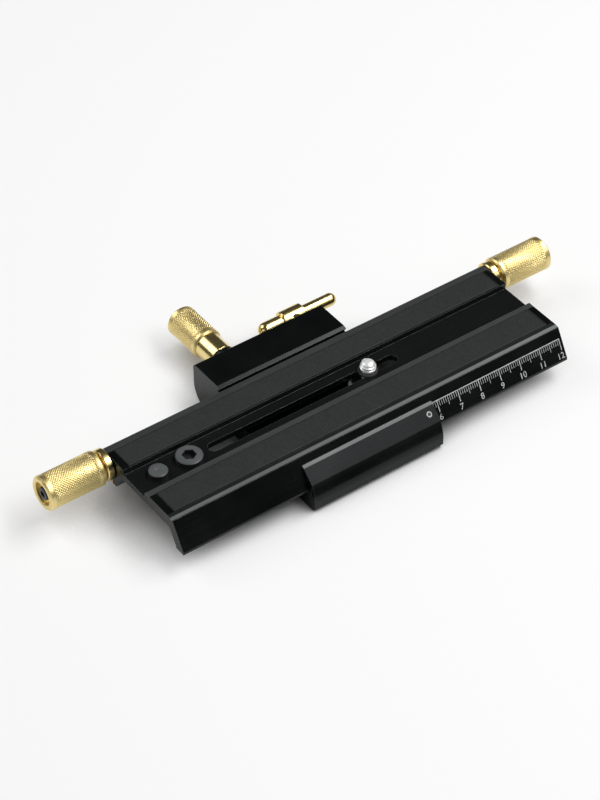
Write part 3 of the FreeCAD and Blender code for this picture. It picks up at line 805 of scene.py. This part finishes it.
def lathe(spindle: Spindle, profile: Profile, segments: int,
          sink: Callable[[float, float], float] | None = None) -> Mesh:
    """Turns a closed half section into a solid.

    Args:
        spindle: Axis of the turning.
        profile: Distance along the axis and radius of each corner, in order round the section.
        segments: Steps in a full turn.
        sink: Depth taken off the radius at a distance along the axis and an angle.

    Returns:
        The turned mesh.
    """
    points, rows = [], []
    for along, radius in profile:
        count = 1 if radius <= 0 else segments
        rows.append(range(len(points), len(points) + count))
        for k in range(count):
            turn = FULL_TURN * k / segments
            depth = sink(along, turn) if sink and radius > 0 else 0.0
            points.append(spindle.at(along, radius - depth, turn))
    faces = []
    for first, second in zip(rows, [*rows[1:], rows[0]]):
        if len(first) == 1 and len(second) == 1:
            continue
        for k in range(segments):
            after = (k + 1) % segments
            ring = [first[k % len(first)], first[after % len(first)],
                    second[after % len(second)], second[k % len(second)]]
            faces.append(list(dict.fromkeys(ring)))
    return mesh_of(points, faces)


@dataclass(frozen=True)
class Thread:
    """A helical ridge with a triangular section, its foot a little inside the root.

    The crest's radius is less than the root's for a thread in a hole. The foot's overlap, the
    crest's half width and the ridge's half width are shares of the pitch.
    """

    root: float
    crest: float
    pitch: float
    segments: int = 24
    overlap: float = 0.05
    land: float = 0.06
    half: float = 0.44
    thinnest: float = 0.05

    def along(self, spindle: Spindle, start: float, end: float) -> Mesh:
        """Winds the ridge round a spindle, with a run-in of a third of a turn at each end.

        Args:
            spindle: Axis of the thread.
            start: Where it begins, along the axis.
            end: Where it ends.

        Returns:
            The ridge as a closed mesh.
        """
        foot = self.root + math.copysign(self.overlap * self.pitch, self.root - self.crest)
        land, half = self.land * self.pitch, self.half * self.pitch
        steps = int(self.segments * (end - start - 2 * half) / self.pitch)
        run_in = self.segments / 3
        points = []
        for k in range(steps + 1):
            middle = start + half + self.pitch * k / self.segments
            turn = FULL_TURN * k / self.segments
            grown = min(1.0, k / run_in, (steps - k) / run_in)
            tip = foot + (self.crest - foot) * max(self.thinnest, grown)
            for offset, radius in ((-half, foot), (-land, tip), (land, tip), (half, foot)):
                points.append(spindle.at(middle + offset, radius, turn))
        faces: list[Face] = [(3, 2, 1, 0), tuple(4 * steps + i for i in range(4))]
        for k in range(steps):
            for i in range(4):
                here, beside = 4 * k + i, 4 * k + (i + 1) % 4
                faces.append((here, beside, beside + 4, here + 4))
        return mesh_of(points, faces)


@dataclass(frozen=True)
class Knurl:
    """Diamond knurl: small pyramids between two crossing sets of grooves."""

    radius: float
    start: float
    end: float
    pitch: float = 1.1 * MM
    depth: float = 0.34 * MM
    samples: int = 4

    @property
    def teeth(self) -> int:
        """Pyramids round the barrel."""
        return round(FULL_TURN * self.radius / self.pitch)

    @property
    def segments(self) -> int:
        """Mesh steps round the barrel."""
        return self.samples * self.teeth

    def rows(self) -> list[tuple[float, float]]:
        """Profile rows over the knurled length.

        Returns:
            Distance along the axis and radius of each row.
        """
        count = round(self.samples * (self.end - self.start) / self.pitch)
        step = (self.end - self.start) / count
        return [(self.start + k * step, self.radius) for k in range(count + 1)]

    def sink(self, along: float, turn: float) -> float:
        """Depth of the grooves at a place on the barrel.

        Args:
            along: Distance along the axis.
            turn: Angle round it.

        Returns:
            Depth under the ridges, which fades out at both ends of the knurl.
        """
        if not self.start <= along <= self.end:
            return 0.0
        around = self.teeth * turn / FULL_TURN
        down = (along - self.start) / self.pitch
        ridge = min(self.tooth(around + down), self.tooth(around - down))
        fade = min(1.0, (along - self.start) / self.pitch, (self.end - along) / self.pitch)
        return self.depth * (1 - ridge) * fade

    @staticmethod
    def tooth(place: float) -> float:
        """Height of a pyramid's flank, 0 in a groove and 1 on the ridge between two."""
        return 1 - abs(2 * (place % 1) - 1)


@dataclass
class Knob:
    """A knurled knob over its CAD barrel, with a neck and a recess for the end screw."""

    node: str
    screw: str
    body: str
    axis: Vector
    chamfer: float = 0.7 * MM
    recess: float = 2.0 * MM
    recess_radius: float = 4.7 * MM
    neck: float = 0.85 * MM
    neck_radius: float = 4.6 * MM
    neck_ease: float = 0.25 * MM
    neck_segments: int = 72
    bore: float = 2.53 * MM
    grip: float = 17.0 * MM
    screw_bore: float = 1.53 * MM
    plain_end: float = 1.3 * MM
    knurl_gap: float = 0.3 * MM
    sharp: float = 14.0

    def build(self, frame: dict, skin: Material, polished: Material, screw: Material) -> None:
        """Builds the barrel and the neck and dresses the end screw.

        Args:
            frame: The loaded frame.
            skin: Finish of the barrel.
            polished: Finish of the neck.
            screw: Finish of the end screw.
        """
        low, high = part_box(self.node)
        along = max(range(3), key=lambda i: abs(self.axis[i]))
        across = next(i for i in range(3) if i != along)
        origin = (low + high) / 2
        origin[along] = low[along] if self.axis[along] > 0 else high[along]
        spindle = Spindle(origin, self.axis)
        self.barrel(spindle, (high[across] - low[across]) / 2, high[along] - low[along], skin)
        ease = self.neck_ease
        section = [(0, self.bore), (0, self.neck_radius - ease), (ease, self.neck_radius),
                   (self.neck, self.neck_radius), (self.neck, self.bore)]
        piece(f"{self.node}_neck", lathe(spindle, section, self.neck_segments), polished,
              self.body)
        dress(frame["nodes"][self.screw], screw)

    def barrel(self, spindle: Spindle, radius: float, total: float, skin: Material) -> None:
        """Builds the knurled barrel.

        Args:
            spindle: Axis from the neck's foot outward.
            radius: The barrel's radius.
            total: Length of neck and barrel.
            skin: Finish of the barrel.
        """
        knurl = Knurl(radius, self.neck + self.chamfer + self.plain_end,
                      total - self.chamfer - self.plain_end)
        shoulder = total - self.recess
        section = [
            (self.neck, self.bore),
            (self.neck, radius - self.chamfer),
            (self.neck + self.chamfer, radius),
            (knurl.start - self.knurl_gap, radius),
            *knurl.rows(),
            (knurl.end + self.knurl_gap, radius),
            (total - self.chamfer, radius),
            (total, radius - self.chamfer),
            (total, self.recess_radius + self.chamfer / 2),
            (total - self.chamfer / 2, self.recess_radius),
            (shoulder, self.recess_radius),
            (shoulder, self.screw_bore),
            (self.grip, self.screw_bore),
            (self.grip, self.bore),
        ]
        piece(f"{self.node}_knurled", lathe(spindle, section, knurl.segments, knurl.sink), skin,
              self.body, [self.node], sharp=self.sharp)


@dataclass
class LeadScrew:
    """The lead screw with its thread, collars and two knobs."""

    body: str = "drive_screw"
    thread: Thread = Thread(2.45 * MM, 3.0 * MM, 1.0 * MM)
    journal: float = 2.5 * MM
    journal_run: float = 6.2 * MM
    knob_grip: float = 17.0 * MM
    collar: float = 2.95 * MM
    segments: int = 40

    def build(self, frame: dict, finishes: Finishes) -> None:
        """Builds the thread and knobs.

        Args:
            frame: The loaded frame.
            finishes: The rail's finishes.
        """
        low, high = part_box("drive_screw")
        half = (high.x - low.x) / 2
        run = half - self.knob_grip - self.collar - self.journal_run
        spindle = Spindle((low + high) / 2, ALONG_X)
        root = self.thread.root
        section = [(-half, 0), (-half, self.journal), (-run, self.journal), (-run, root),
                   (run, root), (run, self.journal), (half, self.journal), (half, 0)]
        core = lathe(spindle, section, self.segments)
        screw = joined([core, self.thread.along(spindle, -run, run)])
        piece("lead_screw_threaded", screw, finishes.steel_x, self.body,
              ["drive_screw"])
        for side, axis in (("left", -ALONG_X), ("right", ALONG_X)):
            knob = Knob(f"drive_knob_{side}", f"knob_screw_{side}", self.body, axis)
            knob.build(frame, finishes.knurl_x, finishes.brass_x, finishes.oxide_x)
            dress(frame["nodes"][f"thrust_collar_{side}"], finishes.brass_x)


class StripRow(Enum):
    """What a lengthwise line of a strip's mesh lies on."""

    FOOT = "foot"
    SIDE = "side"
    RIM = "rim"
    RIBS = "ribs"


@dataclass
class GripStrip:
    """A ribbed rubber strip with a plain rim, over one of the CAD strips."""

    node: str
    pitch: float = 1.2 * MM
    depth: float = 0.28 * MM
    groove_power: float = 1.5
    rim: float = 0.5 * MM
    ease: float = 0.15 * MM
    samples: int = 6
    sharp: float = 50.0

    def rib_line(self, length: float) -> list[tuple[float, float]]:
        """Places along the strip and depths under its top, over the ribs.

        Args:
            length: The strip's length.

        Returns:
            Place and depth of each row of mesh points, from end to end.
        """
        count = round((length - 2 * self.rim) / self.pitch)
        step = (length - 2 * self.rim) / count
        line = [(0.0, self.ease), (self.ease, 0.0), (self.rim - self.ease, 0.0)]
        for k in range(count * self.samples + 1):
            share = k / self.samples
            wave = 0.5 + 0.5 * math.cos(FULL_TURN * share)
            line.append((self.rim + share * step, self.depth * wave ** self.groove_power))
        return [*line, (length - self.rim + self.ease, 0.0), (length - self.ease, 0.0),
                (length, self.ease)]

    def section(self, low: float, high: float) -> list[tuple[float, StripRow]]:
        """The lines of mesh points across the strip.

        Args:
            low: Y of the front side.
            high: Y of the rear side.

        Returns:
            Y and kind of each line.
        """
        return [(low, StripRow.FOOT), (low, StripRow.SIDE), (low + self.ease, StripRow.RIM),
                (low + self.rim, StripRow.RIM), (low + self.rim, StripRow.RIBS),
                (high - self.rim, StripRow.RIBS), (high - self.rim, StripRow.RIM),
                (high - self.ease, StripRow.RIM), (high, StripRow.SIDE), (high, StripRow.FOOT)]

    def height(self, row: StripRow, low: float, high: float, sunk: float, at_end: bool) -> float:
        """Height of a mesh point.

        Args:
            row: Kind of line that the point is on.
            low: The strip's underside.
            high: Its top.
            sunk: Depth of the rib line there.
            at_end: Whether the point is on an end face.

        Returns:
            The point's Z.
        """
        if row is StripRow.FOOT:
            return low
        if row is StripRow.RIBS:
            return high - sunk
        side_drop = self.ease if row is StripRow.SIDE else 0.0
        return high - max(side_drop, sunk if at_end else 0.0)

    def build(self, finishes: Finishes) -> None:
        """Builds the strip: rims of full height along both sides and ribs across it.

        Args:
            finishes: The rail's finishes.
        """
        low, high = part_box(self.node)
        line = self.rib_line(high.x - low.x)
        section = self.section(low.y, high.y)
        last, width = len(line) - 1, len(section)
        points = [Vector((low.x + x, y, self.height(row, low.z, high.z, sunk, k in (0, last))))
                  for k, (x, sunk) in enumerate(line) for y, row in section]
        faces: list[Face] = []
        for k in range(last):
            for i in range(width):
                here, beside = width * k + i, width * k + (i + 1) % width
                faces.append((here, beside, beside + width, here + width))
        faces.append(tuple(range(width)))
        faces.append(tuple(width * last + i for i in range(width)))
        piece(f"{self.node}_ribbed", mesh_of(points, faces), finishes.rubber, "plate",
              [self.node], sharp=self.sharp)


@dataclass(frozen=True)
class Flank:
    """The plate's front flank: a point of its top edge at X = 0, the way down it, its normal."""

    crease: Vector
    down: Vector
    out: Vector

    def at(self, x: float, run: float, lift: float = 0.0) -> Vector:
        """A point at an X, a distance down the flank and a height over it."""
        return self.crease + Vector((x, 0, 0)) + run * self.down + lift * self.out


@dataclass
class FlankScale:
    """Millimetre scale and numbers on the plate's front flank."""

    zero: float = -27.4 * MM
    length_cm: int = 12
    stroke: float = 0.2 * MM
    heavy: float = 0.36 * MM
    baseline: float = 4.5 * MM
    millimetre: float = 2.2 * MM
    half_centimetre: float = 3.4 * MM
    centimetre: float = 4.5 * MM
    digit_height: float = 2.6 * MM
    digit_size: float = 1.35
    digit_weight: float = 0.02 * MM
    digit_steps: int = 3
    digit_gap: float = 0.6 * MM
    end_margin: float = 0.8 * MM
    proud: float = 0.02 * MM
    half_top: float = 23.0 * MM
    drop: float = 0.35 * MM
    flank_angle: float = math.radians(60)

    def build(self, finishes: Finishes) -> None:
        """Builds the marks and the numbers.

        Args:
            finishes: The rail's finishes.
        """
        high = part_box("slide_plate")[1]
        slope = math.tan(self.flank_angle)
        flank = Flank(
            crease=Vector((0, -(self.half_top + self.drop / slope), high.z - self.drop)),
            down=Vector((0, -1 / slope, -1)).normalized(),
            out=Vector((0, -math.sin(self.flank_angle), math.cos(self.flank_angle))))
        piece("scale_marks", self.marks(flank), finishes.ink, "plate")
        limit = high.x - self.end_margin
        numbers = joined([self.number(k, flank, limit) for k in range(self.length_cm + 1)])
        piece("scale_numbers", numbers, finishes.ink, "plate")

    def marks(self, flank: Flank) -> Mesh:
        """The scale's line and marks, as thin raised bars.

        Args:
            flank: The flank that they lie on.

        Returns:
            The mesh of all the bars.
        """
        points: list[Vector] = []
        faces: list[Face] = []

        def bar(x_low: float, x_high: float, near: float, far: float) -> None:
            """Adds a bar to the points and faces.

            Args:
                x_low: X of its left side.
                x_high: X of its right side.
                near: Distance down the flank of its upper side.
                far: Distance down the flank of its lower side.
            """
            base = len(points)
            for lift in (-self.proud, self.proud):
                for x, run in ((x_low, near), (x_high, near), (x_high, far), (x_low, far)):
                    points.append(flank.at(x, run, lift))
            faces.append((base, base + 3, base + 2, base + 1))
            faces.append((base + 4, base + 5, base + 6, base + 7))
            for k in range(4):
                after = (k + 1) % 4
                faces.append((base + k, base + after, base + 4 + after, base + 4 + k))

        count = self.length_cm * MARKS_PER_CM
        bar(self.zero - self.stroke / 2, self.zero + count * MM + self.stroke / 2,
            self.baseline - self.heavy, self.baseline)
        for k in range(count + 1):
            width, reach = self.stroke, self.millimetre
            if k % MARKS_PER_CM == 0:
                width, reach = self.heavy, self.centimetre
            elif k % (MARKS_PER_CM // 2) == 0:
                reach = self.half_centimetre
            x = self.zero + k * MM
            bar(x - width / 2, x + width / 2, self.baseline, self.baseline + reach)
        return mesh_of(points, faces)

    def number(self, value: int, flank: Flank, limit: float) -> Mesh:
        """One number under its centimetre mark.

        Args:
            value: The number.
            flank: The flank that it lies on.
            limit: How far along X the number may reach.

        Returns:
            The number's mesh.
        """
        curve = bpy.data.curves.new("digits", "FONT")
        curve.body = str(value)
        curve.size = self.digit_size * self.digit_height
        curve.align_x = "CENTER"
        curve.extrude = self.proud
        curve.offset = self.digit_weight
        curve.resolution_u = self.digit_steps
        holder = bpy.data.objects.new("digits", curve)
        mesh = bpy.data.meshes.new_from_object(holder)
        bpy.data.objects.remove(holder)
        foot = self.baseline + self.centimetre + self.digit_gap + self.digit_height
        half = max(point.co.x for point in mesh.vertices)
        x = min(self.zero + MARKS_PER_CM * MM * value, limit - half)
        turn = Matrix((ALONG_X, -flank.down, flank.out)).transposed().to_4x4()
        mesh.transform(Matrix.Translation(flank.at(x, foot)) @ turn)
        return mesh


@dataclass
class SlidePlate:
    """The dovetail plate with its strips, bushes, scale and the two pieces in its channel."""

    grips: tuple[str, str] = ("front_grip_strip", "rear_grip_strip")

    def build(self, frame: dict, finishes: Finishes) -> None:
        """Dresses the plate and builds what is on it.

        Args:
            frame: The loaded frame.
            finishes: The rail's finishes.
        """
        nodes = frame["nodes"]
        dress(nodes["slide_plate"], finishes.anodised_plate)
        dress(nodes["screw_bush_left"], finishes.bronze_x)
        dress(nodes["screw_bush_right"], finishes.bronze_x)
        dress(nodes["spare_screw"], finishes.dull_z)
        dress(nodes["stop_pin"], finishes.dull_z)
        for node in self.grips:
            GripStrip(node).build(finishes)
        FlankScale().build(finishes)


@dataclass
class CameraScrew:
    """Captive camera screw with its thread and coin slot, and its two washers.

    The dome gives, for two rings of the tip, the share of its height that is left over them and
    their share of the root's radius.
    """

    thread: Thread = Thread(2.6 * MM, 3.175 * MM, 1.27 * MM, 36)
    shank: float = 2.3 * MM
    head: float = 7.5 * MM
    head_height: float = 3.4 * MM
    ease: float = 0.5 * MM
    tip_ease: float = 0.9 * MM
    dome: tuple[Range, Range] = ((0.35, 0.8), (0.08, 0.45))
    thread_end: float = 0.6
    slot_half: float = 0.8 * MM
    slot_depth: float = 1.4 * MM
    segments: int = 48
    cheek_steps: int = 24

    def build(self, frame: dict, finishes: Finishes) -> None:
        """Builds the screw and dresses the washers.

        Args:
            frame: The loaded frame.
            finishes: The rail's finishes.
        """
        low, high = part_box("camera_screw")
        origin = Vector(((low.x + high.x) / 2, (low.y + high.y) / 2, low.z))
        total = high.z - low.z
        thread_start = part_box("slot_washer")[1].z - low.z
        thread_end = total - self.thread_end * self.tip_ease
        spindle = Spindle(origin, ALONG_Z)
        root = self.thread.root
        section = [
            (self.slot_depth, 0),
            (self.slot_depth, self.head),
            (self.head_height - self.ease, self.head),
            (self.head_height, self.head - self.ease),
            (self.head_height, self.shank),
            (thread_start, self.shank),
            (thread_start, root),
            (total - self.tip_ease, root),
            *((total - left * self.tip_ease, share * root) for left, share in self.dome),
            (total, 0),
        ]
        parts = [lathe(spindle, section, self.segments),
                 self.thread.along(spindle, thread_start, thread_end),
                 self.cheek(origin, -1), self.cheek(origin, 1)]
        piece("camera_screw_threaded", joined(parts), finishes.plated_z, "camera_screw",
              ["camera_screw"])
        dress(frame["nodes"]["slot_washer"], finishes.washer)
        dress(frame["nodes"]["thrust_washer"], finishes.washer)

    def cheek(self, origin: Vector, side: int) -> Mesh:
        """Half of the head's face beside the coin slot.

        Args:
            origin: Middle of the head's face.
            side: 1 for the rear half, -1 for the front half.

        Returns:
            The half disc's mesh.
        """
        rings = ((0.0, self.head - self.ease), (self.ease, self.head),
                 (self.slot_depth, self.head))
        points = []
        for z, radius in rings:
            limit = math.acos(self.slot_half / radius)
            for k in range(self.cheek_steps + 1):
                turn = -limit + 2 * limit * k / self.cheek_steps
                offset = Vector((radius * math.sin(turn), side * radius * math.cos(turn), z))
                points.append(origin + offset)
        row = self.cheek_steps + 1
        faces: list[Face] = [tuple(range(row)), tuple(2 * row + k for k in range(row))]
        for level in range(2):
            for k in range(row):
                here, beside = level * row + k, level * row + (k + 1) % row
                faces.append((here, beside, beside + row, here + row))
        return mesh_of(points, faces)


@dataclass
class Carriage:
    """The carriage with its base, gib, sockets and index mark."""

    socket_thread: Thread = Thread(4.763 * MM, 4.25 * MM, 1.5875 * MM, 36)
    bushing_outer: float = 7.47 * MM
    bushing_ease: float = 0.4 * MM
    bushing_segments: int = 64
    small_thread: Thread = Thread(3.175 * MM, 2.75 * MM, 1.27 * MM, 36)
    small_place: float = -18.0 * MM
    small_start: float = 0.3 * MM
    small_depth: float = 6.5 * MM
    bevel_angle: float = math.atan2(5.4, 6.0)
    mark_outer: float = 1.14 * MM
    mark_inner: float = 0.72 * MM
    mark_proud: float = 0.02 * MM
    mark_segments: int = 40

    def build(self, frame: dict, finishes: Finishes) -> None:
        """Dresses the carriage and builds its threads.

        Args:
            frame: The loaded frame.
            finishes: The rail's finishes.
        """
        nodes = frame["nodes"]
        dress(nodes["carriage_body"], finishes.anodised_carriage)
        dress(nodes["gib_strip"], finishes.anodised)
        dress(nodes["base_cover"], finishes.anodised_end)
        dress(nodes["cover_screws"], finishes.oxide_z)
        dress(nodes["gib_screws"], finishes.oxide_y)
        dress(nodes["shaft_screw"], finishes.oxide_z)
        dress(nodes["lever_bushing"], finishes.bronze_y)
        dress(nodes["index_pin"], finishes.oxide_y)
        self.index_ring(finishes)
        self.tripod_bushing(finishes)
        self.small_socket(finishes)

    def index_ring(self, finishes: Finishes) -> None:
        """Builds the filled ring on the index pin's face.

        Args:
            finishes: The rail's finishes.
        """
        low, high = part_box("index_pin")
        radius = (high.x - low.x) / 2
        normal = Vector((0, -math.sin(self.bevel_angle), math.cos(self.bevel_angle)))
        centre = Vector(((low.x + high.x) / 2, low.y + radius * normal.z,
                         high.z + radius * normal.y))
        section = [(-self.mark_proud, self.mark_inner), (-self.mark_proud, self.mark_outer),
                   (self.mark_proud, self.mark_outer), (self.mark_proud, self.mark_inner)]
        piece("index_ring", lathe(Spindle(centre, normal), section, self.mark_segments),
              finishes.ink, "carriage")

    def tripod_bushing(self, finishes: Finishes) -> None:
        """Builds the tripod insert with its inner thread.

        Args:
            finishes: The rail's finishes.
        """
        low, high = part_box("tripod_bushing")
        top = high.z - low.z
        spindle = Spindle(Vector(((low.x + high.x) / 2, (low.y + high.y) / 2, low.z)), ALONG_Z)
        root, ease = self.socket_thread.root, self.bushing_ease
        section = [(0, root + ease), (0, self.bushing_outer), (top, self.bushing_outer),
                   (top, root), (ease, root)]
        insert = joined([lathe(spindle, section, self.bushing_segments),
                         self.socket_thread.along(spindle, ease, top)])
        piece("tripod_bushing_threaded", insert, finishes.steel_z, "carriage",
              ["tripod_bushing"])

    def small_socket(self, finishes: Finishes) -> None:
        """Builds the thread of the small socket.

        Args:
            finishes: The rail's finishes.
        """
        spindle = Spindle(Vector((self.small_place, 0, 0)), ALONG_Z)
        ridge = self.small_thread.along(spindle, self.small_start, self.small_depth)
        piece("small_socket_thread", ridge, finishes.anodised_end, "carriage")


@dataclass
class Lock:
    """The lock: threaded rod, shoe and knurled knob on a long neck."""

    thread: Thread = Thread(2.45 * MM, 3.0 * MM, 1.0 * MM)
    thread_start: float = 0.2 * MM
    neck: float = 9.95 * MM
    neck_radius: float = 5.7 * MM
    bore: float = 3.03 * MM
    segments: int = 40

    def build(self, frame: dict, finishes: Finishes) -> None:
        """Builds the lock's pieces.

        Args:
            frame: The loaded frame.
            finishes: The rail's finishes.
        """
        low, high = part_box("lock_screw")
        length = high.y - low.y
        spindle = Spindle(Vector(((low.x + high.x) / 2, low.y, (low.z + high.z) / 2)), ALONG_Y)
        knob_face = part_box("lock_knob")[0].y - low.y
        root, crest = self.thread.root, self.thread.crest
        section = [(0, 0), (0, root), (knob_face, root), (knob_face, crest), (length, crest),
                   (length, 0)]
        rod = joined([lathe(spindle, section, self.segments),
                      self.thread.along(spindle, self.thread_start, knob_face)])
        piece("lock_screw_threaded", rod, finishes.steel_y, "lock_knob",
              ["lock_screw"])
        knob = Knob("lock_knob", "lock_knob_screw", "lock_knob", ALONG_Y, neck=self.neck,
                    neck_radius=self.neck_radius, bore=self.bore)
        knob.build(frame, finishes.knurl_y, finishes.brass_y, finishes.oxide_y)
        dress(frame["nodes"]["lock_shoe"], finishes.bronze_y)


@dataclass
class Release:
    """The release lever and the half nut that it moves."""

    def build(self, frame: dict, finishes: Finishes) -> None:
        """Dresses the lever and the half nut.

        Args:
            frame: The loaded frame.
            finishes: The rail's finishes.
        """
        nodes = frame["nodes"]
        dress(nodes["lever_shaft"], finishes.brass_y)
        dress(nodes["lever_bar"], finishes.brass_x)
        dress(nodes["eccentric_pin"], finishes.steel_y)
        dress(nodes["half_nut"], finishes.bronze_x)
        dress(nodes["half_nut_carrier"], finishes.oxide_x)
        dress(nodes["half_nut_screw"], finishes.oxide_z)


@dataclass(frozen=True)
class SoftBox:
    """A rectangular lamp that looks at the rail.

    Its direction is the way from the rail to it, its size has the level side first, and a glow
    of 1 looks white.
    """

    name: str
    direction: Triple
    distance: float
    size: Range
    glow: float

    def hang(self) -> None:
        """Adds the lamp to the scene."""
        lamp = bpy.data.lights.new(self.name, "AREA")
        lamp.shape = "RECTANGLE"
        lamp.size, lamp.size_y = self.size
        lamp.energy = self.glow * math.pi * self.size[0] * self.size[1]
        obj = bpy.data.objects.new(self.name, lamp)
        way = Vector(self.direction).normalized()
        obj.location = self.distance * way
        obj.rotation_euler = way.to_track_quat("Z", "Y").to_euler()
        bpy.context.scene.collection.objects.link(obj)


@dataclass
class Studio:
    """Pale table, soft boxes and the camera, whose back points from the rail to it."""

    camera_place: Triple = (-0.45251, -0.60255, 0.70212)
    camera_back: Triple = (-0.43583, -0.59702, 0.67351)
    lens: float = 121.5
    sensor: float = 36.0
    nearest: float = 10 * MM
    table_size: float = 4.0
    table_cells: int = 8
    table_gap: float = 0.2 * MM
    world: float = 0.06
    boxes: tuple[SoftBox, ...] = (
        SoftBox("key_box", (0.44, -0.25, 0.87), 1.3, (1.4, 0.35), 10.0),
        SoftBox("rear_box", (-0.45, 0.6, 0.66), 1.4, (0.8, 0.8), 3.0),
        SoftBox("front_box", (0.44, -0.62, 0.65), 1.4, (0.9, 0.45), 1.3),
        SoftBox("left_box", (-0.9, -0.3, 0.45), 1.5, (0.8, 0.8), 1.2),
    )

    def build(self) -> None:
        """Builds the table, the lights, the world and the camera."""
        self.table()
        for box in self.boxes:
            box.hang()
        self.sky()
        self.camera()
        LOG.info("studio ready, with %d lamps", len(self.boxes))

    def table(self) -> None:
        """Builds the table top under the rail."""
        half, cells = self.table_size / 2, self.table_cells
        places = [-half + self.table_size * i / cells for i in range(cells + 1)]
        points = [Vector((x, y, 0)) for y in places for x in places]
        row = cells + 1
        faces = [(k, k + 1, k + row + 1, k + row)
                 for j in range(cells) for k in range(j * row, j * row + cells)]
        obj = bpy.data.objects.new("table_top", mesh_of(points, faces))
        bpy.context.scene.collection.objects.link(obj)
        obj.data.materials.append(Backdrop().make())
        obj.location.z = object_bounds()[0][2] - self.table_gap
        obj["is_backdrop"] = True

    def sky(self) -> None:
        """Sets the even pale surroundings."""
        world = bpy.data.worlds.new("surroundings")
        world.use_nodes = True
        background = world.node_tree.nodes["Background"]
        background.inputs["Color"].default_value = (1, 1, 1, 1)
        background.inputs["Strength"].default_value = self.world
        bpy.context.scene.world = world

    def camera(self) -> None:
        """Places the camera at the photograph's angle."""
        lens = bpy.data.cameras.new("view")
        lens.lens = self.lens
        lens.sensor_width = self.sensor
        lens.clip_start = self.nearest
        obj = bpy.data.objects.new("view", lens)
        back = Vector(self.camera_back).normalized()
        right = ALONG_Z.cross(back).normalized()
        axes = Matrix((right, back.cross(right), back)).transposed().to_4x4()
        obj.matrix_world = Matrix.Translation(self.camera_place) @ axes
        scene = bpy.context.scene
        scene.collection.objects.link(obj)
        scene.camera = obj
        scene.view_settings.view_transform = "Standard"


def main() -> None:
    """Builds the rail's looks in order."""
    logging.basicConfig(level=logging.INFO, format="%(name)s %(message)s")
    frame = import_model()
    finishes = Finishes()
    for group in (Carriage(), SlidePlate(), LeadScrew(), CameraScrew(), Lock(), Release()):
        group.build(frame, finishes)
    Studio().build()


if __name__ == "__main__":
    main()
